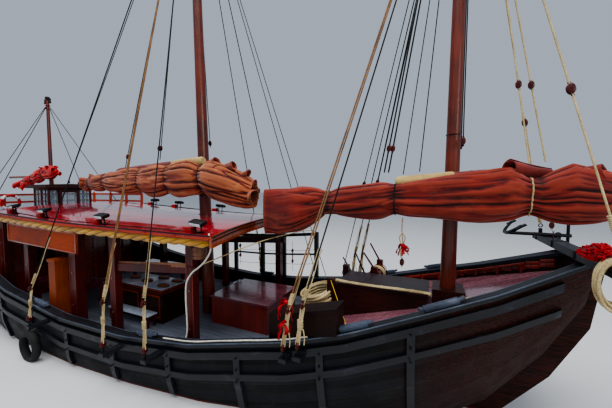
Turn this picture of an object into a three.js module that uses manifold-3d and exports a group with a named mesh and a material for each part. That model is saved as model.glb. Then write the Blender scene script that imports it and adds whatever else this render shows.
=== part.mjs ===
// A three-masted wooden junk with its sails furled and a canopy over the main deck.
// Millimetres, +X to the bow, +Y to port, +Z up. The origin is on the waterline, amidships.

import * as THREE from 'three';
import { mergeVertices } from 'three/addons/utils/BufferGeometryUtils.js';
import Module from 'manifold-3d';

const wasm = await Module();
wasm.setup();

// Driving dimensions
const gap = 0.3;
const turnGap = 0.5;
const wide = 4000;
const skyZ = 9000;
const hullWall = 110;
const mainDeckZ = 700;
const deckThick = 40;
const foreBreakX = 4600;
const poopFrontX = -4900;
const poopDeckZ = 3000;
const sternX = -8800;
const bowX = 9100;
const mainMastX = 1100;
const foreMastX = 7150;
const mizzenMastX = -6800;

// Hull stations: x, half beam at the sheer, sheer height, keel height, fullness of the section
const stations = [
  [-8800, 1900, 2820, -60, 2.3],
  [-7600, 2250, 2480, -560, 2.4],
  [-6200, 2450, 2150, -900, 2.6],
  [-4900, 2540, 1800, -1050, 2.7],
  [-3500, 2600, 1450, -1120, 2.8],
  [-1000, 2550, 1120, -1180, 2.9],
  [1000, 2420, 1060, -1180, 2.8],
  [2700, 2250, 1180, -1120, 2.6],
  [4600, 1950, 1500, -1000, 2.3],
  [5600, 1750, 1760, -850, 2.1],
  [6700, 1420, 2130, -520, 1.9],
  [7800, 1040, 2500, 250, 1.8],
  [8600, 700, 2820, 1250, 1.8],
  [9100, 480, 3030, 2150, 1.8],
];

// Raised foredeck: x, height of the walking surface
const foreDeckLine = [
  [4600, 1360],
  [7150, 2080],
  [9100, 2760],
];

// Shapes: each function gives a solid that can be joined and cut

function welded(geometry) {
  for (const name of Object.keys(geometry.attributes)) {
    if (name !== 'position') geometry.deleteAttribute(name);
  }
  return mergeVertices(geometry, 1e-3);
}

function asManifold(geometry) {
  const vertProperties = new Float32Array(geometry.attributes.position.array);
  const triVerts = new Uint32Array(geometry.index.array);
  return new wasm.Manifold(new wasm.Mesh({ numProp: 3, vertProperties, triVerts }));
}

function asGeometry(solid) {
  const mesh = solid.getMesh();
  const geometry = new THREE.BufferGeometry();
  geometry.setAttribute('position', new THREE.BufferAttribute(mesh.vertProperties, 3));
  geometry.setIndex(new THREE.BufferAttribute(mesh.triVerts, 1));
  geometry.computeVertexNormals();
  return geometry;
}

function placed(geometry, matrix) {
  const merged = welded(geometry);
  merged.applyMatrix4(matrix);
  return asManifold(merged);
}

function block(x0, x1, y0, y1, z0, z1) {
  const centre = new THREE.Matrix4().makeTranslation((x0 + x1) / 2, (y0 + y1) / 2, (z0 + z1) / 2);
  return placed(new THREE.BoxGeometry(x1 - x0, y1 - y0, z1 - z0), centre);
}

// Turns local +Y into the direction from a to b, centred between them, local X kept level
function alongLine(a, b) {
  const from = new THREE.Vector3(...a);
  const to = new THREE.Vector3(...b);
  const axis = to.clone().sub(from).normalize();
  const helper = Math.abs(axis.z) > 0.99 ? new THREE.Vector3(1, 0, 0) : new THREE.Vector3(0, 0, 1);
  const side = new THREE.Vector3().crossVectors(axis, helper).normalize();
  const top = new THREE.Vector3().crossVectors(side, axis);
  const matrix = new THREE.Matrix4().makeBasis(side, axis, top);
  return matrix.setPosition(from.add(to).multiplyScalar(0.5));
}

function distance(a, b) {
  return new THREE.Vector3(...a).distanceTo(new THREE.Vector3(...b));
}

function rod(a, b, radiusA, radiusB = radiusA, sides = 12) {
  const geometry = new THREE.CylinderGeometry(radiusB, radiusA, distance(a, b), sides);
  return placed(geometry, alongLine(a, b));
}

function beam(a, b, width, height) {
  return placed(new THREE.BoxGeometry(width, distance(a, b), height), alongLine(a, b));
}

function tube(points, radius, sides = 8, steps = points.length * 3) {
  const curve = new THREE.CatmullRomCurve3(points.map((point) => new THREE.Vector3(...point)));
  const section = new THREE.Shape();
  section.absarc(0, 0, radius, 0, Math.PI * 2);
  const settings = { steps, extrudePath: curve, curveSegments: sides / 4 };
  return placed(new THREE.ExtrudeGeometry(section, settings), new THREE.Matrix4());
}

// A profile in x and z, extruded across from y0 to y1
function sideProfile(outline, y0, y1) {
  const shape = new THREE.Shape(outline.map(([x, z]) => new THREE.Vector2(x, z)));
  const geometry = new THREE.ExtrudeGeometry(shape, { depth: y1 - y0, bevelEnabled: false });
  const matrix = new THREE.Matrix4().makeRotationX(Math.PI / 2).setPosition(0, y1, 0);
  return placed(geometry, matrix);
}

// An outline in y and z, extruded forward from x0 to x1
function crossProfile(outline, x0, x1) {
  const shape = new THREE.Shape(outline.map(([y, z]) => new THREE.Vector2(y, z)));
  const geometry = new THREE.ExtrudeGeometry(shape, { depth: x1 - x0, bevelEnabled: false });
  const axes = [new THREE.Vector3(0, 1, 0), new THREE.Vector3(0, 0, 1), new THREE.Vector3(1, 0, 0)];
  return placed(geometry, new THREE.Matrix4().makeBasis(...axes).setPosition(x0, 0, 0));
}

// A skin through loops of equal length, in planes of rising x, closed by flat ends
function loft(loops) {
  const flat = (loop) => loop.map(([, y, z]) => new THREE.Vector2(y, z));
  if (loops[0][0][0] > loops.at(-1)[0][0]) loops.reverse();
  if (THREE.ShapeUtils.area(flat(loops[0])) < 0) loops.forEach((loop) => loop.reverse());
  const count = loops[0].length;
  const index = [];
  for (let row = 0; row < loops.length - 1; row += 1) {
    for (let column = 0; column < count; column += 1) {
      const a = row * count + column;
      const b = row * count + (column + 1) % count;
      index.push(a, b, a + count, b, b + count, a + count);
    }
  }
  const lastRow = (loops.length - 1) * count;
  for (const [a, b, c] of THREE.ShapeUtils.triangulateShape(flat(loops[0]), [])) index.push(c, b, a);
  for (const [a, b, c] of THREE.ShapeUtils.triangulateShape(flat(loops.at(-1)), [])) {
    index.push(lastRow + a, lastRow + b, lastRow + c);
  }
  const geometry = new THREE.BufferGeometry();
  geometry.setAttribute('position', new THREE.Float32BufferAttribute(loops.flat(2), 3));
  geometry.setIndex(index);
  return asManifold(geometry);
}

function join(...solids) {
  return solids.flat().reduce((whole, next) => whole.add(next));
}

function cut(solid, ...tools) {
  return tools.flat().reduce((rest, tool) => rest.subtract(tool), solid);
}

// Straight-line lookup in a table whose first column is x
function lookUp(table, x, column) {
  const last = table.length - 1;
  if (x <= table[0][0]) return table[0][column];
  if (x >= table[last][0]) return table[last][column];
  const row = table.findIndex((entry) => entry[0] >= x);
  const [before, after] = [table[row - 1], table[row]];
  const share = (x - before[0]) / (after[0] - before[0]);
  return before[column] + (after[column] - before[column]) * share;
}

const halfBeamAt = (x) => lookUp(stations, x, 1);
const sheerAt = (x) => lookUp(stations, x, 2);
const foreDeckAt = (x) => lookUp(foreDeckLine, x, 1);

// The radius of a many-sided hole that a round pin turns in
const boreSides = 48;
const boreFor = (radius) => (radius + turnGap) / Math.cos(Math.PI / boreSides);

// The scene

const group = new THREE.Group();

const colours = {
  tar: [0x1d1e24, 0.5, 0],
  bottomPaint: [0x5a241c, 0.8, 0],
  redWood: [0x6e1f14, 0.35, 0],
  darkWood: [0x35140f, 0.45, 0],
  varnish: [0xa5491c, 0.35, 0],
  mastWood: [0x8a3413, 0.45, 0],
  lacquer: [0xa82a35, 0.15, 0],
  greyDeck: [0x77736f, 0.8, 0],
  redDeck: [0x7a2f3c, 0.35, 0],
  canvas: [0xa04024, 0.85, 0],
  redCanvas: [0x8c1f1c, 0.85, 0],
  brightCanvas: [0xb01218, 0.85, 0],
  gold: [0xc9992c, 0.8, 0],
  blackRope: [0x17171a, 0.85, 0],
  ironBlack: [0x15161a, 0.5, 0.6],
  bronze: [0x8a6a2e, 0.35, 0.9],
  railRed: [0xa02c14, 0.45, 0],
  engineGreen: [0x3d4a42, 0.6, 0.3],
};

function add(name, solid, colour) {
  const [hex, roughness, metalness] = colours[colour];
  const material = new THREE.MeshStandardMaterial({ color: hex, roughness, metalness });
  const mesh = new THREE.Mesh(asGeometry(solid), material);
  mesh.name = name;
  group.add(mesh);
  return mesh;
}

// Hull: one loop of the section at x, moved inward by inset and carried up above the sheer
function hullLoop(x, inset, raise) {
  const [, halfBeam, sheer, keel, fullness] = [0, 1, 2, 3, 4].map((column) => lookUp(stations, x, column));
  const steps = 7;
  const loop = [];
  for (let step = -steps; step <= steps; step += 1) {
    const angle = (Math.abs(step) / steps) * (Math.PI / 2);
    const y = Math.sign(step) * (halfBeam - inset) * Math.sin(angle) ** (2 / fullness);
    const drop = step === -steps || step === steps ? 0 : Math.cos(angle) ** (2 / fullness);
    loop.push([x, y, sheer - (sheer - keel - inset) * drop]);
  }
  if (raise > 0) {
    loop.push([x, halfBeam - inset, sheer + raise]);
    loop.unshift([x, inset - halfBeam, sheer + raise]);
  }
  return loop;
}

function hullBody(inset = 0, raise = 0, from = sternX, to = bowX) {
  const places = stations.map(([x]) => x).filter((x) => x > from && x < to);
  return loft([from, ...places, to].map((x) => hullLoop(x, inset, raise)));
}

// Everything above the decks, dropped by the given amount
function aboveDecks(drop, breakX = foreBreakX) {
  const outline = [
    [sternX - 100, mainDeckZ - drop],
    [breakX, mainDeckZ - drop],
    ...foreDeckLine.map(([x, z]) => [x === foreBreakX ? breakX : x, z - drop]),
    [bowX + 100, foreDeckLine.at(-1)[1] - drop],
    [bowX + 100, skyZ],
    [sternX - 100, skyZ],
  ];
  return sideProfile(outline, -wide, wide);
}

// The flat strip between two heights that both follow the sheer
function sheerBand(topDrop, bottomDrop) {
  const top = stations.map(([x, , sheer]) => [x, sheer - topDrop]);
  const bottom = stations.map(([x, , sheer]) => [x, sheer - bottomDrop]);
  return sideProfile([...bottom, ...top.reverse()], -wide, wide);
}

const fullHull = hullBody();
const enginePit = { x0: -7300, x1: -5300, halfWidth: 560, floorZ: -520 };
const rudderX = -9060;
const stockRadius = 75;

// A bearing block on the stern that the rudder stock turns in
function gudgeon(z) {
  const body = block(rudderX - 120, sternX + 5, -120, 120, z - 60, z + 60);
  const radius = boreFor(stockRadius);
  return cut(body, rod([rudderX, 0, z - 100], [rudderX, 0, z + 100], radius, radius, boreSides));
}

function hull() {
  const pit = enginePit;
  const solid = cut(fullHull, aboveDecks(deckThick + gap));
  const opening = block(pit.x0, pit.x1, -pit.halfWidth, pit.halfWidth, pit.floorZ, 2000);
  return join(cut(solid, opening), gudgeon(420));
}
add('hull', hull(), 'tar');

function engine() {
  const pit = enginePit;
  return block(pit.x0 + 250, pit.x1 - 250, -450, 450, pit.floorZ + gap, mainDeckZ - deckThick - 80);
}
add('engine', engine(), 'engineGreen');

// Keel, stem and the boss at the after end that carries the propeller shaft
const shaftZ = -900;
const keelEndX = -7900;
const shaftRadius = 36;
const boreX = -7700;
function keel() {
  const outline = [
    [keelEndX, -1420],
    [4600, -1420],
    [5700, -1260],
    [6800, -860],
    [7900, -60],
    [8750, 950],
    [9250, 1900],
    [9420, 3060],
    [bowX + 1, 3060],
    [bowX + 1, 3000],
    [9060, 3000],
    [8300, 2000],
    [6000, 0],
    [keelEndX, -400],
  ];
  const timber = cut(sideProfile(outline, -90, 90), fullHull);
  const boss = rod([keelEndX + 300, 0, shaftZ], [keelEndX - 60, 0, shaftZ], 120);
  const radius = boreFor(shaftRadius);
  const bore = rod([boreX, 0, shaftZ], [keelEndX - 100, 0, shaftZ], radius, radius, boreSides);
  return cut(join(timber, cut(boss, fullHull)), bore);
}
add('keel_and_stem', keel(), 'bottomPaint').position.set(gap, 0, -gap);

// Planking above the deck, in two sides, a transom and a bow board
const insideFromX = sternX + hullWall;
const insideToX = bowX - hullWall;
const planking = cut(
  fullHull.intersect(aboveDecks(deckThick, foreBreakX - gap)),
  hullBody(hullWall, 600, insideFromX, insideToX),
);
for (const [name, y0, y1] of [['bulwark_starboard', -wide, 0], ['bulwark_port', 0, wide]]) {
  add(name, planking.intersect(block(insideFromX + gap, insideToX - gap, y0, y1, -3000, skyZ)), 'tar');
}
function transom() {
  const board = planking.intersect(block(sternX - 10, insideFromX, -wide, wide, -3000, skyZ));
  return join(board, gudgeon(2300));
}
add('transom', transom(), 'tar');
add('bow_board', planking.intersect(block(insideToX, bowX + 10, -wide, wide, -3000, skyZ)), 'tar');

// Wales and rubbing posts: the part of a thicker hull that stands outside the planking
const waleProud = 60;
const mainFeet = [2060, 990, -1460];
const foreFeet = [4920, 4680];
const mainFootOut = 380;
const foreFootOut = 220;
const chainPlates = [...mainFeet.map((x) => [x, mainFootOut]), ...foreFeet.map((x) => [x, foreFootOut])];
const footZAt = (x) => sheerAt(x) - 110;
const postPlaces = [-7000, -5400, -3800, -2300, -800, 700, 2200, 3700, 5200, 6600];
function wales() {
  const skin = cut(hullBody(-waleProud), fullHull);
  const posts = postPlaces.map((x) => block(x - 60, x + 60, -wide, wide, 80, sheerAt(x) - 120));
  const brackets = chainPlates.flatMap(([x, out]) => [-1, 1].map((side) => {
    const [y0, y1] = [side * (halfBeamAt(x) - 80), side * (halfBeamAt(x) + out + 50)];
    const z = footZAt(x);
    return cut(block(x - 70, x + 70, Math.min(y0, y1), Math.max(y0, y1), z - 70, z), fullHull);
  }));
  return join(skin.intersect(join(sheerBand(90, 230), sheerBand(520, 640), posts)), brackets);
}
const allWales = wales();
for (const [side, y0, y1, shift] of [['starboard', -wide, -500, -gap], ['port', 500, wide, gap]]) {
  const band = allWales.intersect(block(sternX - 10, 8700, y0, y1, -3000, skyZ));
  add(`wales_${side}`, band, 'tar').position.y = shift;
}

// Cap rails along the sheer
const capThick = 80;
function capRail(side) {
  const loops = stations.map(([x, halfBeam, sheer]) => [
    [x, side * (halfBeam - 150), sheer + gap],
    [x, side * (halfBeam + 50), sheer + gap],
    [x, side * (halfBeam + 50), sheer + capThick],
    [x, side * (halfBeam - 150), sheer + capThick],
  ]);
  return loft(loops);
}
add('cap_rail_starboard', capRail(-1), 'tar');
add('cap_rail_port', capRail(1), 'tar');

// Decks
const insideHull = hullBody(hullWall + gap, 3000, insideFromX + gap, insideToX - gap);
function mainDeck() {
  const plate = block(sternX, foreBreakX - gap, -wide, wide, mainDeckZ - deckThick, mainDeckZ);
  return insideHull.intersect(plate);
}
add('main_deck', mainDeck(), 'greyDeck');

function foreDeck() {
  const bottom = foreDeckLine.map(([x, z]) => [x, z - deckThick]);
  const plate = sideProfile([...bottom, ...foreDeckLine.toReversed()], -wide, wide);
  return insideHull.intersect(plate);
}
add('foredeck', foreDeck(), 'redDeck');

// A flat plate whose edge follows the side of the ship, inset by a given amount
function planPlate(x0, x1, inset, z0, z1) {
  const places = [x0, ...stations.map(([x]) => x).filter((x) => x > x0 && x < x1), x1];
  const half = places.map((x) => [x, halfBeamAt(x) - inset]);
  const outline = [...half.map(([x, y]) => [x, -y]), ...half.reverse()];
  const shape = new THREE.Shape(outline.map(([x, y]) => new THREE.Vector2(x, y)));
  const geometry = new THREE.ExtrudeGeometry(shape, { depth: z1 - z0, bevelEnabled: false });
  return placed(geometry, new THREE.Matrix4().makeTranslation(0, 0, z0));
}

const poopUnderZ = poopDeckZ - 60;
function poopDeck() {
  return planPlate(sternX - 80, poopFrontX + 60, 20, poopUnderZ, poopDeckZ);
}
add('poop_deck', poopDeck(), 'redDeck');

// Sides of the after cabin, between the cap rail and the poop deck
function poopSides() {
  const belowRail = stations.map(([x, , sheer]) => [x, sheer + capThick + gap]);
  const outside = sideProfile([[sternX, -100], [bowX, -100], ...belowRail.reverse()], -wide, wide);
  const ring = cut(
    planPlate(sternX + 400, poopFrontX, 50, 1500, poopUnderZ - gap),
    planPlate(sternX + 399, poopFrontX + 1, 50 + 60, 1400, 3200),
  );
  return cut(ring, outside);
}

// Hinges: a pin on a bracket that stays, and a knuckle that turns round it
const pinRadius = 9;
const knuckleRadius = 20;
const pinGap = 0.7;

function shifted(point, direction, length) {
  return point.map((value, index) => value + direction[index] * length);
}

function hingePin(at, axis, toFrame) {
  const foot = beam(shifted(at, toFrame, -pinRadius), shifted(at, toFrame, 60), 34, 34);
  return join(foot, rod(at, shifted(at, axis, 75), pinRadius, pinRadius, 16));
}

function hingeKnuckle(at, axis, toLeaf, leaf) {
  const low = shifted(at, axis, 18);
  const high = shifted(at, axis, 78);
  const ring = rod(low, high, knuckleRadius, knuckleRadius, 16);
  const middle = shifted(at, axis, 48);
  const [width, height] = axis[2] === 1 ? [14, 56] : [56, 14];
  const tab = beam(middle, shifted(middle, toLeaf, 70), width, height);
  const hole = rod(shifted(at, axis, -30), shifted(at, axis, 120), pinRadius + pinGap, pinRadius + pinGap, 16);
  return cut(join(leaf, ring, tab), hole);
}

// After cabin: windows in its sides, and a front with a doorway and its door
const cabinWindowXs = [-6300, -5500];
function cabinWindows() {
  return cabinWindowXs.map((x) => block(x - 260, x + 260, -wide, wide, 2390, 2760));
}
const cabinSides = cut(poopSides(), cabinWindows());
for (const [side, y0, y1] of [['starboard', -wide, 0], ['port', 0, wide]]) {
  add(`cabin_side_${side}`, cabinSides.intersect(block(sternX, 0, y0, y1, 0, skyZ)), 'redWood');
}

const wallThick = 60;
const doorHingeZs = [950, 2150];
const upward = [0, 0, 1];
const leafHalfThick = 20;
const leafOffset = 25;

// A door laid on the front of a wall at wallX, over a doorway from y0 to y1
function doorPins(wallX, y0) {
  return (z) => {
    const axisY = y0 - 32;
    const cleat = block(wallX - 5, wallX + leafOffset + 17, axisY - 60, axisY - 25, z - 17, z + 17);
    return join(hingePin([wallX + leafOffset, axisY, z], upward, [0, -1, 0]), cleat);
  };
}

function doorLeaf(wallX, y0, y1, z0, z1, hingeZs) {
  const axisX = wallX + leafOffset;
  const leaf = block(axisX - leafHalfThick, axisX + leafHalfThick, y0 - 6, y1 + 20, z0, z1);
  return hingeZs.reduce((solid, z) => hingeKnuckle([axisX, y0 - 32, z], upward, [0, 1, 0], solid), leaf);
}

const cabinDoorway = { y0: -370, y1: 400, topZ: 2400 };
function cabinFront() {
  const wall = insideHull.intersect(
    block(poopFrontX - wallThick, poopFrontX, -wide, wide, mainDeckZ + gap, poopUnderZ - gap),
  );
  const { y0, y1, topZ } = cabinDoorway;
  const doorway = block(poopFrontX - 100, poopFrontX + 10, y0, y1, mainDeckZ, topZ);
  const windows = [-1450, 850].map((y) => block(poopFrontX - 100, poopFrontX + 10, y, y + 600, 1650, 2300));
  const railZ = sheerAt(poopFrontX);
  const railNotches = [[-wide, 158 - halfBeamAt(poopFrontX)], [halfBeamAt(poopFrontX) - 158, wide]].map(([a, b]) => {
    return block(poopFrontX - 100, poopFrontX + 10, a, b, railZ - 2, railZ + capThick + 20);
  });
  return join(cut(wall, doorway, windows, railNotches), doorHingeZs.map(doorPins(poopFrontX, y0)));
}
add('cabin_front', cabinFront(), 'redWood');

function cabinDoor() {
  const { y0, y1, topZ } = cabinDoorway;
  return doorLeaf(poopFrontX, y0, y1, mainDeckZ + 12, topZ + 20, doorHingeZs);
}
add('cabin_door', cabinDoor(), 'varnish');

// Canopy roof: x, half width, height of the top at the edge
const roofLine = [
  [-4800, 2450, 3500],
  [-1500, 2330, 3350],
  [1000, 2130, 3290],
  [3050, 2050, 3270],
];
const roofCamber = 180;
const roofThick = 70;
const roofFrontX = 3050;

function roofTopAt(x, y) {
  return lookUp(roofLine, x, 2) + roofCamber * (1 - (y / lookUp(roofLine, x, 1)) ** 2);
}

function roofSlab(topRise, bottomRise) {
  const steps = 8;
  const loops = roofLine.map(([x, half]) => {
    const across = Array.from({ length: steps + 1 }, (_, step) => half * ((2 * step) / steps - 1));
    const top = across.map((y) => [x, y, roofTopAt(x, y) + topRise]);
    const bottom = across.map((y) => [x, y, roofTopAt(x, y) + bottomRise]);
    return [...bottom, ...top.reverse()];
  });
  return loft(loops);
}

function mastAt(mast, z) {
  return [mast.x + (z - mast.footZ) * mast.lean, 0, z];
}
const mainMast = { x: mainMastX, footZ: mainDeckZ + gap, topZ: 15500, lean: -0.0262, foot: 175, head: 80 };
const foreMast = { x: foreMastX, footZ: 2060, topZ: 12500, lean: 0.0115, foot: 140, head: 85 };
const mizzenMast = { x: mizzenMastX, footZ: poopDeckZ + gap, topZ: 7700, lean: 0, foot: 75, head: 50 };
const mastSides = 24;
const sparTaper = 0.8;
const mastRadiusAt = (mast, z) => {
  return mast.foot + ((mast.head - mast.foot) * (z - mast.footZ)) / (mast.topZ - mast.footZ);
};

function mastSpar(mast, below = 0) {
  const footZ = mast.footZ - below;
  return rod(mastAt(mast, footZ), mastAt(mast, mast.topZ), mastRadiusAt(mast, footZ), mast.head, mastSides);
}

function canopyRoof() {
  const hole = rod(mastAt(mainMast, 2500), mastAt(mainMast, 4200), 200);
  return cut(roofSlab(0, -roofThick), hole);
}
add('canopy_roof', canopyRoof(), 'lacquer');

function frontFascia() {
  const half = lookUp(roofLine, roofFrontX, 1);
  const across = [-1, -0.75, -0.5, -0.25, 0, 0.25, 0.5, 0.75, 1].map((share) => share * half);
  const top = across.map((y) => [y, roofTopAt(roofFrontX, y) + 12]);
  const bottom = across.map((y) => [y, roofTopAt(roofFrontX, y) - 200]);
  return crossProfile([...bottom, ...top.reverse()], roofFrontX + gap, roofFrontX + 60);
}
add('roof_fascia', frontFascia(), 'varnish');

// Canopy posts: x, width. All but the roof beams stand at the side of the deck
const canopyPosts = [
  [-4690, 200],
  [-3300, 200],
  [-1250, 240],
  [80, 170],
  [2360, 170],
];
const headerWide = 110;
const headerTall = 150;
const sideRail = { aftZ: 2350, foreZ: 2530, wide: 90, tall: 170 };
const skyRoof = roofSlab(2000, -roofThick - gap);
const postYAt = (x) => Math.min(halfBeamAt(x) - 430, lookUp(roofLine, x, 1) - 270);
const headerAt = (x) => roofTopAt(x, postYAt(x)) - roofThick - 60;

function canopyFrame(side) {
  const posts = canopyPosts.map(([x, width]) => {
    const y = side * postYAt(x);
    return block(x - width / 2, x + width / 2, y - width / 2, y + width / 2, mainDeckZ + gap, 3700);
  });
  const ends = canopyPosts.slice(1).map(([x], index) => [canopyPosts[index][0], x]);
  const headers = ends.map(([x0, x1]) => {
    const from = [x0, side * postYAt(x0), headerAt(x0)];
    return beam(from, [x1, side * postYAt(x1), headerAt(x1)], headerWide, headerTall);
  });
  const [[x0], [x1]] = canopyPosts.slice(-2);
  const railEnd = [x1, side * postYAt(x1), sideRail.foreZ];
  const rail = beam([x0, side * postYAt(x0), sideRail.aftZ], railEnd, sideRail.wide, sideRail.tall);
  return cut(join(posts, headers, rail), skyRoof);
}
add('canopy_frame_starboard', canopyFrame(-1), 'darkWood');
add('canopy_frame_port', canopyFrame(1), 'darkWood');

// Beams across under the roof, tied by one along the middle, with a slot round the mast
function roofBeams() {
  const beams = [-4400, -3000, -1500, 300, 2400].map((x) => {
    const y = postYAt(x) - 180;
    return block(x - 45, x + 45, -y, y, roofTopAt(x, y) - roofThick - 90, 3800);
  });
  const lowZ = 3230;
  const spine = block(-4400, 2400, -45, 45, lowZ, 3800);
  const slot = block(mainMastX - 420, mainMastX + 300, -600, 600, lowZ - 50, 3900);
  const around = [-330, 250].map((y) => block(300, 2400, y, y + 80, lowZ, 3800));
  return cut(join(cut(join(beams, spine), slot), around), skyRoof);
}
add('roof_beams', roofBeams(), 'darkWood');

// Fringe under the eaves, a plain strip in the place of the twisted cloth
const fringeDrop = 130;
function fringe(side) {
  const loops = roofLine.map(([x, half, edgeZ]) => {
    const top = edgeZ - roofThick - gap;
    const [inner, outer] = [side * (half - 45), side * (half - 2)];
    return [[x, inner, top], [x, outer, top], [x, outer, top - fringeDrop], [x, inner, top - fringeDrop]];
  });
  return loft(loops);
}
add('fringe_starboard', fringe(-1), 'gold');
add('fringe_port', fringe(1), 'gold');

// Blank board under the starboard eaves
const signFromX = -3900;
const signToX = -900;
const signHeight = 600;
function signBoard() {
  const edgeYAt = (x) => -(lookUp(roofLine, x, 1) - 75);
  const midZAt = (x) => lookUp(roofLine, x, 2) - roofThick - signHeight / 2;
  const ends = [signFromX, signToX].map((x) => [x, edgeYAt(x), midZAt(x)]);
  return cut(beam(...ends, 36, signHeight + 120), skyRoof);
}
add('sign_board', signBoard(), 'varnish');

// Deck lamps with their junction boxes, on a batten along each side of the roof
const lampXs = [-4050, -2600, -400, 2400];
function roofLamps(side) {
  const yAt = (x) => side * (lookUp(roofLine, x, 1) - 230);
  const lamps = lampXs.map((x) => {
    const y = yAt(x);
    const z = roofTopAt(x, y);
    const box = block(x - 100, x + 90, y - 60, y + 60, z - 60, z + 85);
    const stand = rod([x + 210, y, z - 60], [x + 210, y, z + 150], 16, 16, 8);
    const head = beam([x + 40, y + side * 20, z + 165], [x + 370, y + side * 20, z + 165], 190, 70);
    return join(box, stand, head, block(x, x + 230, y - 15, y + 15, z - 60, z + 16));
  });
  const battens = lampXs.slice(1).map((x, index) => {
    const [a, b] = [lampXs[index], x].map((place) => [place, yAt(place), roofTopAt(place, yAt(place)) + 2]);
    return beam(a, b, 40, 60);
  });
  return cut(join(lamps, battens), roofSlab(gap, -400));
}
add('roof_lamps_starboard', roofLamps(-1), 'ironBlack');
add('roof_lamps_port', roofLamps(1), 'ironBlack');

// Furniture under the canopy
const deckTop = mainDeckZ + gap;
function counter() {
  const cabinet = block(-1100, 590, -1110, -370, deckTop, 1540);
  const top = block(-1150, 640, -1160, -320, 1535, 1600);
  return join(cabinet, top);
}
add('counter', counter(), 'darkWood');

function table(x0, x1, y0, y1) {
  const height = 1450;
  const leg = 90;
  const top = block(x0, x1, y0, y1, height - 60, height);
  const corners = [[x0 + 60, y0 + 60], [x1 - 150, y0 + 60], [x0 + 60, y1 - 150], [x1 - 150, y1 - 150]];
  const legs = corners.map(([x, y]) => block(x, x + leg, y, y + leg, deckTop, height - 50));
  const apron = cut(
    block(x0 + 60, x1 - 60, y0 + 60, y1 - 60, height - 200, height - 50),
    block(x0 + 150, x1 - 150, y0 + 150, y1 - 150, height - 250, height - 60),
  );
  return join(top, legs, apron);
}
add('table_starboard', table(-4250, -2150, -1750, -850), 'redWood');
add('table_port', table(-3100, -1300, 550, 1450), 'redWood');

// Mooring bitt that stands inboard of the starboard rail
function mooringBitt() {
  const y = 380 - halfBeamAt(-1800);
  const post = block(-1950, -1650, y - 150, y + 150, deckTop, 2350);
  return join(post, block(-1970, -1630, y - 170, y + 170, 2345, 2420));
}
add('mooring_bitt', mooringBitt(), 'varnish');

// Main hatch before the mast, with its lid hinged on the port side
const hatch = { x0: 1650, x1: 3350, y0: -500, y1: 950, topZ: 1380, wall: 60 };
const hatchHingeZ = hatch.topZ + 25;
const hatchHingeXs = [1950, 2950];
function hatchTrunk() {
  const { x0, x1, y0, y1, topZ, wall } = hatch;
  const shell = cut(
    block(x0, x1, y0, y1, deckTop, topZ),
    block(x0 + wall, x1 - wall, y0 + wall, y1 - wall, deckTop + wall, topZ + 10),
  );
  const pins = hatchHingeXs.map((x) => hingePin([x, y1 + 24, hatchHingeZ], [1, 0, 0], [0, 0, -1]));
  const cleats = hatchHingeXs.map((x) => block(x - 17, x + 17, y1 - 5, y1 + 41, topZ - 60, topZ - 10));
  return join(shell, pins, cleats);
}
add('hatch_trunk', hatchTrunk(), 'redWood');

function hatchLid() {
  const { x0, x1, y0, y1, topZ } = hatch;
  const leaf = block(x0 - 30, x1 + 30, y0 - 30, y1, topZ + gap, topZ + 50);
  const turn = (solid, x) => hingeKnuckle([x, y1 + 24, hatchHingeZ], [1, 0, 0], [0, -1, 0], solid);
  return hatchHingeXs.reduce(turn, leaf);
}
add('hatch_lid', hatchLid(), 'redDeck');

// Stanchions and rails on the port side, before the canopy: x, height of the top
const stanchions = [
  [180, 2550],
  [1410, 2600],
  [2310, 2680],
  [3550, 2830],
];
function stanchionFrame() {
  const yAt = (x) => halfBeamAt(x) - 60;
  const posts = stanchions.map(([x, topZ]) => {
    const footZ = Math.max(sheerAt(x - 60), sheerAt(x + 60)) + capThick + gap;
    return block(x - 60, x + 60, yAt(x) - 50, yAt(x) + 50, footZ, topZ);
  });
  const rails = stanchions.slice(1).flatMap(([x1, top1], index) => {
    const [x0, top0] = stanchions[index];
    return [60, 700].map((down) => {
      const width = down === 60 ? 90 : 50;
      return beam([x0, yAt(x0), top0 - down], [x1, yAt(x1), top1 - down], width, width);
    });
  });
  return join(posts, rails);
}
add('stanchion_frame_port', stanchionFrame(), 'tar');

// Heavy chest on the starboard rail, its foot following the sheer
function railChest() {
  const places = [4240, 4600, 5500];
  const foot = places.map((x) => [x, sheerAt(x) + capThick + gap]);
  const top = places.map((x) => [x, sheerAt(x) + capThick + 450]).reverse();
  return sideProfile([...foot, ...top], -1880, -1450);
}
add('rail_chest', railChest(), 'darkWood');

// Fore hatch: long coamings level with each other on the sloping deck, and a lid between
const foreHatch = { x0: 5000, x1: 6800, half: 470, wall: 90, topZ: 2170 };
const foreHatchHingeXs = [5300, 6400];
const foreHingeZ = foreHatch.topZ + 25;
function foreHatchCoaming() {
  const { x0, x1, half, wall, topZ } = foreHatch;
  const onDeck = (x) => [x, foreDeckAt(x) + gap];
  const outline = [onDeck(x0), onDeck(x1), [x1, topZ], [x0, topZ]];
  const ring = cut(
    sideProfile(outline, -half, half),
    block(x0 + wall, x1 - wall, wall - half, half - wall, 0, topZ + 10),
  );
  const pins = foreHatchHingeXs.map((x) => hingePin([x, half + 24, foreHingeZ], [1, 0, 0], [0, 0, -1]));
  const cleats = foreHatchHingeXs.map((x) => block(x - 17, x + 17, half - 5, half + 41, topZ - 60, topZ - 10));
  const posts = [-1, 1].map((side) => {
    const [y0, y1] = [side * 560 - 70, side * 560 + 70];
    return sideProfile([onDeck(4880), onDeck(5020), [5020, 2330], [4880, 2330]], y0, y1);
  });
  const tie = sideProfile([onDeck(4930), onDeck(5050), [5050, 2000], [4930, 2000]], -600, 600);
  return join(ring, pins, cleats, posts, tie);
}
add('fore_hatch_coaming', foreHatchCoaming(), 'darkWood');

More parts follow.
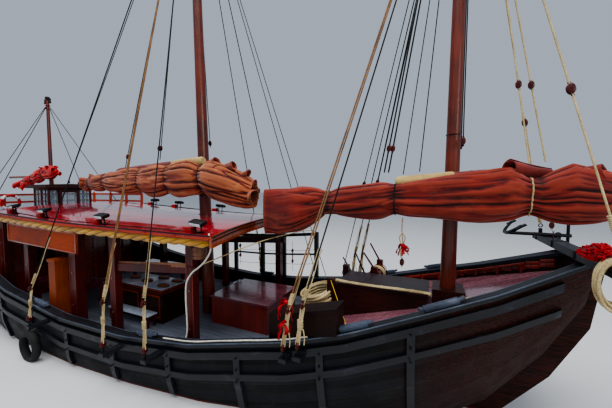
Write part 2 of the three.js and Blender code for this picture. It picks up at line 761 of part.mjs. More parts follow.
function foreHatchLid() {
  const { x0, x1, half, topZ } = foreHatch;
  const leaf = block(x0 + 60, x1 + 20, -half - 20, half, topZ + gap, topZ + 50);
  const turn = (solid, x) => hingeKnuckle([x, half + 24, foreHingeZ], [1, 0, 0], [0, -1, 0], solid);
  return foreHatchHingeXs.reduce(turn, leaf);
}
add('fore_hatch_lid', foreHatchLid(), 'redDeck');

// Windlass on the port side of the foredeck
const windlass = { x: 5600, z: 2030, y0: 760, y1: 1400, barrel: 120, pin: 45 };
function windlassPosts() {
  const foot = (x) => [x, foreDeckAt(x) + gap];
  const { x, z, y0, y1, pin } = windlass;
  const outline = [foot(x - 75), foot(x + 75), [x + 75, z + 280], [x - 75, z + 280]];
  const posts = [y0 - 70, y1 + 70].map((y) => sideProfile(outline, y - 60, y + 60));
  const sill = sideProfile([foot(x - 60), foot(x + 60), [x + 60, 1720], [x - 60, 1720]], y0 - 60, y1 + 60);
  const radius = boreFor(pin);
  const bore = rod([x, y0 - 200, z], [x, y1 + 200, z], radius, radius, boreSides);
  const spikes = [[y0 - 70, 330], [y1 + 70, 420]].map(([y, rise]) => {
    return rod([x, y, z + 240], [x - 260, y, z + 280 + rise], 24, 20, 8);
  });
  return join(cut(join(posts, sill), bore), spikes);
}
add('windlass_posts', windlassPosts(), 'darkWood');

function windlassBarrel() {
  const { x, z, y0, y1, barrel, pin } = windlass;
  const drum = rod([x, y0 + 6, z], [x, y1 - 6, z], barrel, barrel, 12);
  const axle = rod([x, y0 - 110, z], [x, y1 + 110, z], pin, pin, mastSides);
  const cheeks = [y0 + 6, y1 - 46].map((y) => rod([x, y, z], [x, y + 40, z], barrel + 50, barrel + 50, 12));
  return join(drum, axle, cheeks);
}
add('windlass_barrel', windlassBarrel(), 'varnish');

// Masts, with a timber collar round the foot of the fore mast
const foreDeckSky = sideProfile(
  [[4600, foreDeckAt(4600) + gap], [7150, foreDeckAt(7150) + gap], [9100, foreDeckAt(9100) + gap],
    [9100, -3000], [4600, -3000]],
  -wide,
  wide,
);
const underDeck = block(0, 2000, -500, 500, 0, deckTop);
add('main_mast', cut(mastSpar(mainMast, 20), underDeck), 'mastWood');
add('fore_mast', cut(mastSpar(foreMast, 60), foreDeckSky), 'mastWood');
add('mizzen_mast', mastSpar(mizzenMast), 'mastWood');

function mastCollar(mast, x0, x1, half, z0, z1) {
  const ring = block(x0, x1, -half, half, z0, z1);
  const hole = rod(mastAt(mast, z0 - 100), mastAt(mast, z1 + 100), mast.foot + gap, mast.foot + gap, mastSides);
  return cut(ring, hole);
}
add('fore_mast_collar', cut(mastCollar(foreMast, 6880, 7430, 300, 1900, 2280), foreDeckSky), 'darkWood');

// Furled sails. Each bundle: x, middle height, half height, half width, all at one distance from the mast
function bundle(table, y) {
  const sides = 12;
  const loops = table.map(([x, z, halfHeight, halfWidth]) => {
    return Array.from({ length: sides }, (_, step) => {
      const angle = (step / sides) * Math.PI * 2;
      return [x, y + halfWidth * Math.cos(angle), z + halfHeight * Math.sin(angle)];
    });
  });
  return loft(loops);
}

// A tapered spar. The tunnel that it runs in is the same, a little wider and longer
function spar(y, { from, to, radius }, grow = 0, extra = 0) {
  const slope = (to[1] - from[1]) / (to[0] - from[0]);
  const taper = (radius * (1 - sparTaper) * extra) / (to[0] - from[0]);
  const start = [from[0] - extra, y, from[1] - slope * extra];
  const end = [to[0] + extra, y, to[1] + slope * extra];
  return rod(start, end, radius + taper + grow, radius * sparTaper - taper + grow, 10);
}

// A spar with a hoop that turns round the mast, on an arm from it
function boom(mast, y, table, hoopZ) {
  const [low, middle, high] = [hoopZ - 60, hoopZ, hoopZ + 60].map((z) => mastAt(mast, z));
  const [lowRadius, middleRadius, highRadius] = [low, middle, high].map(([, , z]) => mastRadiusAt(mast, z));
  const hoop = rod(low, high, middleRadius + 45, middleRadius + 45, mastSides);
  const { from, to } = table;
  const sparZ = from[1] + ((middle[0] - from[0]) / (to[0] - from[0])) * (to[1] - from[1]);
  const arm = beam(shifted(middle, [0, -1, 0], middleRadius), [middle[0], y, sparZ], 90, 90);
  const ends = [mastAt(mast, hoopZ - 240), mastAt(mast, hoopZ + 240)];
  const taper = (lowRadius - highRadius) * 2;
  const bore = rod(...ends, boreFor(middleRadius + taper), boreFor(middleRadius - taper), boreSides);
  return cut(join(spar(y, table), arm, hoop), bore);
}

const mainY = -470;
const mainBundle = [
  [-3850, 4330, 130, 110],
  [-3300, 4380, 260, 200],
  [-1800, 4400, 360, 240],
  [-400, 4450, 430, 270],
  [1000, 4480, 480, 290],
  [2000, 4380, 490, 290],
  [2750, 4200, 400, 260],
  [3060, 4100, 240, 170],
];
const foreY = -440;
const foreBundle = [
  [3260, 3600, 490, 130],
  [4000, 3700, 470, 200],
  [4700, 3870, 400, 240],
  [5300, 3950, 360, 230],
  [6400, 4020, 400, 270],
  [7150, 4050, 420, 280],
  [8000, 4090, 430, 280],
  [8900, 4110, 420, 270],
  [9600, 4060, 320, 220],
  [9800, 4020, 190, 140],
];
const mizzenY = -250;
const mizzenBundle = [
  [-9300, 4680, 120, 90],
  [-8300, 4720, 230, 130],
  [-7200, 4760, 270, 150],
  [-6300, 4730, 190, 120],
  [-6000, 4690, 90, 70],
];

const mainSpar = { from: [-3950, 4250], to: [3120, 4134], radius: 75 };
const foreSpar = { from: [3450, 3640], to: [9950, 3960], radius: 70 };
const mizzenSpar = { from: [-9400, 4640], to: [-5900, 4650], radius: 45 };

// The boom runs in a tunnel through the cloth. The yard lies on top, laced to it
function sail(table, y, boomTable, yard, armX, armZ) {
  const armSlot = block(armX - 60, armX + 60, y, 0, armZ - 90, armZ + 90);
  return cut(join(bundle(table, y), yard), spar(y, boomTable, gap, 60), armSlot);
}

const mainYard = rod([-2000, mainY, 4800], [1450, mainY, 4930], 80, 100, 12);
const foreYard = rod([5400, foreY, 4280], [7750, foreY, 4440], 70, 95, 12);
add('main_boom', boom(mainMast, mainY, mainSpar, 4200), 'mastWood');
add('main_sail', sail(mainBundle, mainY, mainSpar, mainYard, 1008, 4190), 'canvas');
add('fore_boom', boom(foreMast, foreY, foreSpar, 3800), 'mastWood');
add('fore_sail', sail(foreBundle, foreY, foreSpar, foreYard, 7170, 3810), 'redCanvas');
const mizzenSail = join(bundle(mizzenBundle, mizzenY), boom(mizzenMast, mizzenY, mizzenSpar, 4700));
add('mizzen_sail', mizzenSail, 'brightCanvas');

// Wheelhouse on the poop deck
const house = { x0: -6500, x1: -5500, half: 700, wall: 50, topZ: 4250 };
const houseDoorway = { y0: -330, y1: 230, z0: 3090, z1: 4120 };
const houseHingeZs = [3250, 3950];
function wheelhouseWalls() {
  const { x0, x1, half, wall, topZ } = house;
  const shell = cut(
    block(x0, x1, -half, half, poopDeckZ + gap, topZ),
    block(x0 + wall, x1 - wall, wall - half, half - wall, poopDeckZ - 10, topZ + 10),
  );
  const sill = 3640;
  const head = 4130;
  const sideWindows = [x0 + 110, x0 + 540].map((x) => block(x, x + 350, -wide, wide, sill, head));
  const { y0, y1, z0, z1 } = houseDoorway;
  const doorway = block(x1 - 80, x1 + 10, y0, y1, z0, z1);
  const foreWindow = block(x1 - 80, x1 + 10, 330, 620, sill, head);
  const aftWindows = [-600, 60].map((y) => block(x0 - 10, x0 + 80, y, y + 540, sill, head));
  const pins = houseHingeZs.map(doorPins(x1, y0));
  return join(cut(shell, sideWindows, doorway, foreWindow, aftWindows), pins);
}
add('wheelhouse_walls', wheelhouseWalls(), 'varnish');

function wheelhouseRoof() {
  const { x0, x1, half, topZ } = house;
  const out = half + 110;
  const outline = [[-out, topZ + gap], [out, topZ + gap], [out, topZ + 60], [0, topZ + 100], [-out, topZ + 60]];
  return crossProfile(outline, x0 - 110, x1 + 110);
}
add('wheelhouse_roof', wheelhouseRoof(), 'darkWood');

function wheelhouseDoor() {
  const { y0, y1, z0, z1 } = houseDoorway;
  const leaf = doorLeaf(house.x1, y0, y1, z0 - 20, z1 + 20, houseHingeZs);
  return cut(leaf, block(house.x1, house.x1 + 80, y0 + 80, y1 - 60, 3640, 4060));
}
add('wheelhouse_door', wheelhouseDoor(), 'varnish');

// Rails round the poop
const railPosts = [-4960, -5900, -6850, -7800, -8760];
const railHeights = [3300, 3620, 3920];
const railYAt = (x) => halfBeamAt(x) - 110;
function sternRail() {
  const pieces = [];
  const corner = railPosts.at(-1);
  for (const side of [-1, 1]) {
    for (const x of railPosts) {
      const y = side * railYAt(x);
      pieces.push(block(x - 40, x + 40, y - 40, y + 40, poopDeckZ + gap, 3960));
    }
    railPosts.slice(1).forEach((x, index) => {
      const before = railPosts[index];
      for (const z of railHeights) {
        pieces.push(beam([before, side * railYAt(before), z], [x, side * railYAt(x), z], 50, 80));
      }
    });
    pieces.push(block(corner - 40, corner + 40, side * 700 - 40, side * 700 + 40, poopDeckZ + gap, 3960));
  }
  for (const z of railHeights) {
    pieces.push(beam([corner, -railYAt(corner), z], [corner, railYAt(corner), z], 50, 80));
  }
  return join(pieces);
}
add('stern_rail', sternRail(), 'railRed');

// Rudder hung behind the stern, its tiller passing over the poop deck under the rail
const tillerZ = 3110;
function rudder() {
  const blade = sideProfile(
    [[rudderX - 900, -1450], [rudderX + 340, -1450], [rudderX + 340, -760], [rudderX, -640],
      [rudderX, 300], [rudderX - 620, 300], [rudderX - 900, -700]],
    -45,
    45,
  );
  const stock = rod([rudderX, 0, -1450], [rudderX, 0, 3190], stockRadius, stockRadius, mastSides);
  const holes = [-1150, -650, -150].flatMap((z) => [-300, -600].map((x) => {
    const [cx, size] = [rudderX + x, 90];
    return sideProfile([[cx - size, z], [cx, z - size], [cx + size, z], [cx, z + size]], -100, 100);
  }));
  const tiller = beam([rudderX, 0, tillerZ], [rudderX + 1350, 0, tillerZ + 20], 70, 60);
  return join(cut(join(blade, stock), holes), tiller);
}
add('rudder', rudder(), 'bottomPaint');

// Propeller: hub, shaft and four blades made from flattened balls
function propellerBlade(turn) {
  const matrix = new THREE.Matrix4().makeRotationX(turn);
  matrix.multiply(new THREE.Matrix4().makeTranslation(-8085, 0, 245));
  matrix.multiply(new THREE.Matrix4().makeRotationZ(0.6));
  matrix.multiply(new THREE.Matrix4().makeScale(16, 120, 190));
  const lifted = new THREE.Matrix4().makeTranslation(0, 0, shaftZ).multiply(matrix);
  return placed(new THREE.SphereGeometry(1, 8, 6), lifted);
}

function propeller() {
  const hubFrom = keelEndX - 66;
  const hub = rod([hubFrom - 200, 0, shaftZ], [hubFrom, 0, shaftZ], 70, 95, 16);
  const shaft = rod([hubFrom - 20, 0, shaftZ], [boreX - 60, 0, shaftZ], shaftRadius, shaftRadius, mastSides);
  const blades = [0, 1, 2, 3].map((index) => propellerBlade((index * Math.PI) / 2));
  return join(hub, shaft, blades);
}
add('propeller', propeller(), 'bronze');

// Beam across the bow, and the anchor that rests on it
const bowBeamTopZ = 3235;
function bowBeam() {
  return block(8860, 9070, -1550, 1550, 3030 + capThick + gap, bowBeamTopZ);
}
add('bow_beam', bowBeam(), 'tar');

function anchor() {
  const [y, thick] = [1000, 35];
  const z = bowBeamTopZ + thick + gap;
  const shank = rod([9320, y, z], [8240, y, z], thick, thick, 8);
  const arms = tube([[8430, y - 400, z + 190], [8290, y - 230, z + 50], [8240, y, z], [8290, y + 230, z + 50],
    [8430, y + 400, z + 190]], thick, 8, 10);
  const palms = [-1, 1].map((side) => {
    const tip = [8440, y + side * 400, z + 190];
    return beam(shifted(tip, [-1, 0, -0.6], 90), shifted(tip, [1, 0, 0.6], 60), 130, 30);
  });
  const stock = rod([9270, y, z - 320], [9270, y, z + 240], 28, 28, 8);
  return join(shank, arms, palms, stock);
}
add('anchor', anchor(), 'ironBlack');

// Standing rigging: a band round each masthead, and taut lines down to their feet, lashed at the low end
const [mainBandZ, foreBandZ, mizzenBandZ] = [13300, 11300, 7300];
const stayRadius = 14;
const lashing = { low: 150, high: 850, lowRadius: 36, topRadius: 24 };
const deadeyeHalf = 32;
const deadeyeTall = 190;
function rigging(mast, bandZ, lashedFeet, plainFeet = []) {
  const radius = mastRadiusAt(mast, bandZ);
  const bandEnds = [mastAt(mast, bandZ - 90), mastAt(mast, bandZ + 90)];
  const band = rod(...bandEnds, radius + 35, radius + 35, mastSides);
  const [under, over] = [bandZ - 300, bandZ + 300];
  const [wideEnd, thinEnd] = [under, over].map((z) => mastRadiusAt(mast, z) + gap);
  const bore = rod(mastAt(mast, under), mastAt(mast, over), wideEnd, thinEnd, mastSides);
  const lines = [...lashedFeet, ...plainFeet].map((foot) => {
    const out = new THREE.Vector3(foot[0] - mastAt(mast, bandZ)[0], foot[1], 0).normalize();
    const top = shifted(mastAt(mast, bandZ), [out.x, out.y, 0], radius + 22);
    const along = new THREE.Vector3(...top.map((value, index) => value - foot[index])).normalize().toArray();
    const [from, to] = [lashing.low, lashing.high].map((length) => shifted(foot, along, length));
    const line = rod(foot, top, stayRadius, stayRadius, 6);
    if (plainFeet.includes(foot)) return line;
    return join(line, rod(from, to, lashing.lowRadius, lashing.topRadius, 8));
  });
  return cut(join(band, lines), bore);
}

function deadeyes(feet, out) {
  return feet.flatMap((x) => [-1, 1].map((side) => [x, side * (halfBeamAt(x) + out), footZAt(x)]));
}

function footBlocks(places) {
  const half = deadeyeHalf;
  return places.map(([x, y, z]) => block(x - half, x + half, y - half, y + half, z + gap, z + deadeyeTall));
}

const mainShroudFeet = deadeyes(mainFeet, mainFootOut);
const foreShroudFeet = deadeyes(foreFeet, foreFootOut);
const riseOver = (places, rise) => places.map(([x, y, z]) => [x, y, z + rise]);
const backstayFoot = [house.x1 - 100, 0, house.topZ + 110];
const bowStayFeet = [-1, 1].map((side) => [8965, side * 1480, bowBeamTopZ]);
const mainRig = join(
  rigging(mainMast, mainBandZ, riseOver(mainShroudFeet, 100), [shifted(backstayFoot, upward, 40)]),
  footBlocks(mainShroudFeet),
  rod(backstayFoot, shifted(backstayFoot, upward, 90), 30, 30, 8),
);
const foreRig = join(
  rigging(foreMast, foreBandZ, [...riseOver(foreShroudFeet, 100), ...riseOver(bowStayFeet, 60)]),
  footBlocks(foreShroudFeet),
  footBlocks(bowStayFeet),
);
const mizzenFeet = [[-7800, -1], [-7800, 1], [-5900, -1], [-5900, 1]].map(([x, side]) => {
  return [x, side * (railYAt(x) - 120), poopDeckZ];
});
const mizzenRig = join(rigging(mizzenMast, mizzenBandZ, riseOver(mizzenFeet, 60)), footBlocks(mizzenFeet));
add('main_rigging', mainRig, 'blackRope');
add('fore_rigging', foreRig, 'blackRope');
add('mizzen_rigging', mizzenRig, 'blackRope');

export default group;
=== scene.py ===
import math
import random

import bmesh
import bpy
import numpy as np
from mathutils import Matrix, Vector, noise


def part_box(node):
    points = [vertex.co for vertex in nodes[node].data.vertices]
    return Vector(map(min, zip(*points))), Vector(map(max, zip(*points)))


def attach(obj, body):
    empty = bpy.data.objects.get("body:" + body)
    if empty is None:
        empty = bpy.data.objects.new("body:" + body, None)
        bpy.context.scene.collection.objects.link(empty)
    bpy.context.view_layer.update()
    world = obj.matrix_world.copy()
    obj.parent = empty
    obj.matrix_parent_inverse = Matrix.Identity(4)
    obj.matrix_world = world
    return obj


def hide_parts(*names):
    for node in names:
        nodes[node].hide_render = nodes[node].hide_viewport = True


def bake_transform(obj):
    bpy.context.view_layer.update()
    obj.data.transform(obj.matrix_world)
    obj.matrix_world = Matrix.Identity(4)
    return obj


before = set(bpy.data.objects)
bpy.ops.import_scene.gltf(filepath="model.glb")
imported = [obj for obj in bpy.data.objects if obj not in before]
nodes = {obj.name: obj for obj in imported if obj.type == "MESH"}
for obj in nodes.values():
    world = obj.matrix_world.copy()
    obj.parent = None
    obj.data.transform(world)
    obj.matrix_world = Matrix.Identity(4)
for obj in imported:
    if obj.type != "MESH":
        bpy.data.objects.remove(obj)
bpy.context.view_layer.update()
print("frame loaded")

# The photograph's camera, soft light and the pale room
view = {
    "eye": (6.9, -6.16, 4.2),
    "azimuth": 24.3,  # 0 looks along +Y, 90 looks along -X
    "down": 3.2,
    "lens": 16.88,
    "sensor": 36,
    "reach": 400,
    "contrast": "AgX - Medium High Contrast",
    "skyTone": (0.74, 0.83, 0.96, 1),
    "skyStrength": 0.5,
    "floorTone": (0.60, 0.61, 0.62, 1),
    "floorSize": 220,
    "lights": [  # name, place, target, size, watts, tone
        ("overheadLight", (2, -8, 30), (0, 0, 2), (30, 20), 10500, (1, 0.98, 0.95)),
        ("frontLight", (26, -16, 13), (2, 0, 2), (12, 9), 1700, (1, 0.96, 0.9)),
    ],
}


def makeCamera():
    lens = bpy.data.cameras.new("camera")
    lens.lens, lens.sensor_width, lens.clip_end = view["lens"], view["sensor"], view["reach"]
    camera = bpy.data.objects.new("camera", lens)
    turn, drop = math.radians(view["azimuth"]), math.radians(view["down"])
    ahead = Vector((-math.sin(turn) * math.cos(drop), math.cos(turn) * math.cos(drop), -math.sin(drop)))
    camera.rotation_euler = ahead.to_track_quat("-Z", "Y").to_euler()
    camera.location = view["eye"]
    bpy.context.collection.objects.link(camera)
    bpy.context.scene.camera = camera


def makeLight(name, place, target, size, power, tone):
    data = bpy.data.lights.new(name, "AREA")
    data.shape, data.energy, data.color = "RECTANGLE", power, tone
    data.size, data.size_y = size
    lamp = bpy.data.objects.new(name, data)
    lamp.location = place
    lamp.rotation_euler = (Vector(target) - Vector(place)).to_track_quat("-Z", "Y").to_euler()
    bpy.context.collection.objects.link(lamp)


def makeRoom():
    world = bpy.data.worlds.new("softRoom")
    world.use_nodes = True
    sky = world.node_tree.nodes["Background"]
    sky.inputs[0].default_value = view["skyTone"]
    sky.inputs[1].default_value = view["skyStrength"]
    bpy.context.scene.world = world
    bpy.context.scene.view_settings.look = view["contrast"]


makeCamera()
for light in view["lights"]:
    makeLight(*light)
makeRoom()
print("camera and light set")


# Materials: a colour is written as a hex code, and sums of sockets read as plain sums
def tint(code):
    def channel(pair):
        value = int(pair, 16) / 255
        return value / 12.92 if value <= 0.04045 else ((value + 0.055) / 1.055) ** 2.4
    return (channel(code[0:2]), channel(code[2:4]), channel(code[4:6]), 1)


class Wire:
    def __init__(self, paint, socket):
        self.paint, self.socket = paint, socket

    def __add__(self, other):
        return self.paint.maths("ADD", self, other)

    def __sub__(self, other):
        return self.paint.maths("SUBTRACT", self, other)

    def __mul__(self, other):
        return self.paint.maths("MULTIPLY", self, other)

    def __truediv__(self, other):
        return self.paint.maths("DIVIDE", self, other)


class Paint:
    def __init__(self, name, **constants):
        self.material = bpy.data.materials.new(name)
        self.material.use_nodes = True
        self.tree = self.material.node_tree
        self.shader = self.tree.nodes["Principled BSDF"]
        for key, value in constants.items():
            self.shader.inputs[key.replace("_", " ")].default_value = value

    def node(self, kind, settings=None, values=None, output=0):
        made = self.tree.nodes.new(kind)
        for key, value in (settings or {}).items():
            setattr(made, key, value)
        for key, value in (values or {}).items():
            self.feed(made.inputs[key], value)
        return Wire(self, made.outputs[output])

    def feed(self, socket, value):
        if isinstance(value, Wire):
            self.tree.links.new(value.socket, socket)
        else:
            socket.default_value = value

    def maths(self, operation, first, second=0.5):
        return self.node("ShaderNodeMath", {"operation": operation}, {0: first, 1: second})

    def where(self, scale=(1, 1, 1)):
        spot = self.node("ShaderNodeTexCoord", output="Object")
        return self.node("ShaderNodeMapping", None, {"Vector": spot, "Scale": scale})

    def split(self, vector, axis):
        return self.node("ShaderNodeSeparateXYZ", None, {0: vector}, "xyz".index(axis))

    def noise(self, vector, scale, detail=4, roughness=0.55):
        values = {"Vector": vector, "Scale": scale, "Detail": detail, "Roughness": roughness}
        return self.node("ShaderNodeTexNoise", None, values)

    def ramp(self, share, low, high):  # 0 below low, 1 above high
        values = {"Value": share, "From Min": low, "From Max": high}
        return self.node("ShaderNodeMapRange", {"interpolation_type": "SMOOTHSTEP"}, values)

    def mix(self, share, first, second):
        return self.node("ShaderNodeMix", {"data_type": "RGBA"}, {0: share, 6: first, 7: second}, 2)

    def bump(self, height, strength, distance):
        values = {"Height": height, "Strength": strength, "Distance": distance}
        self.feed(self.shader.inputs["Normal"], self.node("ShaderNodeBump", None, values))

    def finish(self, colour, roughness):
        self.feed(self.shader.inputs["Base Color"], colour)
        self.feed(self.shader.inputs["Roughness"], roughness)
        return self.material


# The distance across planks: along an axis, or up from lines that follow the sheer
def sheerLine(paint):
    spot = paint.where()
    fromLow = paint.split(spot, "x") - 1.0
    ahead = paint.ramp(fromLow, -0.01, 0.01)
    return paint.split(spot, "z") - fromLow * fromLow * (ahead * 0.0117 + 0.0183)


def alongX(paint):
    return paint.split(paint.where(), "x")


def alongY(paint):
    return paint.split(paint.where(), "y")


def planks(paint, lanes, seam):  # a chance for each plank, and 0 in the seams
    index = paint.maths("FLOOR", lanes)
    chance = paint.node("ShaderNodeTexWhiteNoise", {"noise_dimensions": "1D"}, {"W": index})
    return chance, paint.ramp(paint.maths("PINGPONG", lanes, 0.5), 0.0, seam)


seamWidth, seamTone = 0.006, "0c0908"


def timber(name, light, dark, along="x", across=None, board=0.15, rough=0.4, coat=0.0, patchShare=0.3,
           patchTone="8a8078", bump=0.25, shine=0.5):
    paint = Paint(name, Coat_Weight=coat, Coat_Roughness=0.12, Specular_IOR_Level=shine)
    fine = paint.noise(paint.where((0.5, 9, 9) if along == "x" else (9, 9, 0.5)), 5.0, 7, 0.65)
    broad = paint.noise(paint.where(), 0.8, 3)
    tone = paint.ramp(fine * 0.5 + broad * 0.5, 0.34, 0.66)
    height = fine * 0.3
    if across:
        chance, joint = planks(paint, across(paint) / board, seamWidth / board)
        tone = tone * 0.65 + chance * 0.35
        height = height + joint * 1.2
    colour = paint.mix(tone, tint(dark), tint(light))
    if across:
        colour = paint.mix(joint, tint(seamTone), colour)
    # patches of a second tone: wear, which on the tarred timber, the cap's edge strips and the foredeck is also
    # a painted highlight
    patch = paint.noise(paint.where((1, 1, 1.6)), 2.2, 6, 0.7)
    colour = paint.mix(paint.ramp(patch, 0.62 - 0.2 * patchShare, 0.86) * patchShare, colour, tint(patchTone))
    paint.bump(height, bump, 0.006)
    spread = paint.ramp(broad * 0.5 + fine * 0.5, 0.3, 0.7) * 0.22 + (rough - 0.08)
    return paint.finish(colour, spread)


tar = {
    "plank": 0.19, "dark": "08090c", "light": "17191f", "patch": "302c2a", "streak": "3c3a38",
    "seam": "30241b",
    "bow": (6.6, 8.4), "bowDark": "120503", "bowLight": "40170b",  # the planks turn brown between these x
    "line": (0.05, 0.09), "below": "54201a", "belowLight": "74332a",  # red paint below the waterline
}


def hullPaint(name):
    paint = Paint(name, Specular_IOR_Level=0.18)
    chance, joint = planks(paint, sheerLine(paint) / tar["plank"], 0.035)
    grain = paint.noise(paint.where((0.4, 8, 8)), 6, 6, 0.6)
    patch = paint.noise(paint.where(), 1.6, 6, 0.7)
    streak = paint.noise(paint.where((6, 6, 0.5)), 2.5, 5, 0.6)
    black = paint.mix(paint.ramp(grain * 0.5 + chance * 0.5, 0.25, 0.75), tint(tar["dark"]), tint(tar["light"]))
    black = paint.mix(paint.ramp(patch, 0.52, 0.8) * 0.4, black, tint(tar["patch"]))
    black = paint.mix(paint.ramp(streak, 0.58, 0.78) * 0.25, black, tint(tar["streak"]))
    brown = paint.mix(paint.ramp(grain, 0.35, 0.65), tint(tar["bowDark"]), tint(tar["bowLight"]))
    black = paint.mix(paint.ramp(alongX(paint) + patch * 1.4, *tar["bow"]) * 0.85, black, brown)
    height = paint.split(paint.where(), "z") + patch * 0.06
    red = paint.mix(paint.ramp(patch, 0.4, 0.7), tint(tar["below"]), tint(tar["belowLight"]))
    colour = paint.mix(paint.ramp(height, *tar["line"]), red, black)
    colour = paint.mix(joint, tint(tar["seam"]), colour)
    paint.bump(grain * 0.3 + joint, 0.4, 0.008)
    return paint.finish(colour, paint.ramp(patch, 0.3, 0.7) * 0.25 + 0.45)


def lacquer(name, light, dark, rough, wave, dust):
    paint = Paint(name, Coat_Weight=0.9, Coat_Roughness=0.06)
    cloud = paint.noise(paint.where(), 1.1, 4)
    grain = paint.noise(paint.where((0.4, 7, 7)), 4, 5)
    film = paint.noise(paint.where(), 3.1, 7, 0.72)
    colour = paint.mix(paint.ramp(cloud * 0.6 + grain * 0.4, 0.35, 0.65), tint(dark), tint(light))
    colour = paint.mix(paint.ramp(film, 0.5, 0.8) * dust, colour, tint("b9a6a4"))
    paint.bump(cloud * 0.7 + grain * 0.3, wave, 0.05)
    return paint.finish(colour, paint.ramp(film, 0.35, 0.75) * 0.25 + rough)


def metal(name, tone, patchTone, metallic, rough):
    paint = Paint(name, Metallic=metallic)
    cloud = paint.noise(paint.where(), 9, 6, 0.65)
    colour = paint.mix(paint.ramp(cloud, 0.555, 0.8) * 0.3, tint(tone), tint(patchTone))
    paint.bump(cloud, 0.12, 0.003)
    return paint.finish(colour, paint.ramp(cloud, 0.3, 0.7) * 0.25 + rough)


def cloth(name, light, dark, shade, fadeAndHighlight=0.0, sheen=0.25, fadedAndHighlightTone="d49a76"):
    paint = Paint(name, Sheen_Weight=sheen, Sheen_Roughness=0.5, Specular_IOR_Level=0.25)
    stain = paint.noise(paint.where(), 1.3, 6, 0.62)
    fold = paint.noise(paint.where((0.6, 2.4, 2.4)), 2.6, 6, 0.66)
    bleachAndCrestHighlight = paint.noise(paint.where((0.7, 1, 1.6)), 2.5, 7, 0.7)
    crest = paint.node("ShaderNodeAttribute", {"attribute_name": "fold"}, None, "Fac")  # 0.5 where it is flat
    colour = paint.mix(paint.ramp(stain * 0.5 + fold * 0.5, 0.34, 0.66), tint(dark), tint(light))
    # painted shade: the shade tone darkens the cloth where the fold noise is low and in the valleys between
    # folds
    colour = paint.mix(paint.ramp(fold + crest * 0.6, 0.75, 0.55) * 0.6, colour, tint(shade))
    colour = paint.mix(paint.ramp(crest, 0.5, 0.2) * 0.8, colour, tint(shade))
    # real fading in noise patches, and a painted highlight on the fold crests, both in the faded and highlight
    # tone
    bleachAndCrestHighlight = paint.ramp(bleachAndCrestHighlight, 0.48, 0.72) * 0.5 + paint.ramp(crest, 0.52, 0.8) * 0.5
    colour = paint.mix(bleachAndCrestHighlight * fadeAndHighlight, colour, tint(fadedAndHighlightTone))
    weave = paint.where((260.0, 260.0, 260.0))
    warp, weft = (paint.maths("SINE", paint.split(weave, axis)) for axis in "xz")
    paint.bump(warp * weft * 0.15 + fold, 0.35, 0.012)
    return paint.finish(colour, stain * 0.15 + 0.78)


def ropePaint(name, light, dark):
    paint = Paint(name, Specular_IOR_Level=0.2)
    fibre = paint.noise(paint.where(), 70, 5, 0.7)
    cloud = paint.noise(paint.where(), 3, 4)
    colour = paint.mix(paint.ramp(fibre * 0.6 + cloud * 0.4, 0.35, 0.65), tint(dark), tint(light))
    paint.bump(fibre, 0.5, 0.004)
    return paint.finish(colour, fibre * 0.15 + 0.78)


def plain(name, light, dark, rough, **constants):
    paint = Paint(name, **constants)
    cloud = paint.noise(paint.where(), 6.0, 5, 0.6)
    colour = paint.mix(paint.ramp(cloud, 0.35, 0.68), tint(dark), tint(light))
    paint.bump(cloud, 0.08, 0.002)
    return paint.finish(colour, cloud * 0.15 + rough - 0.07)


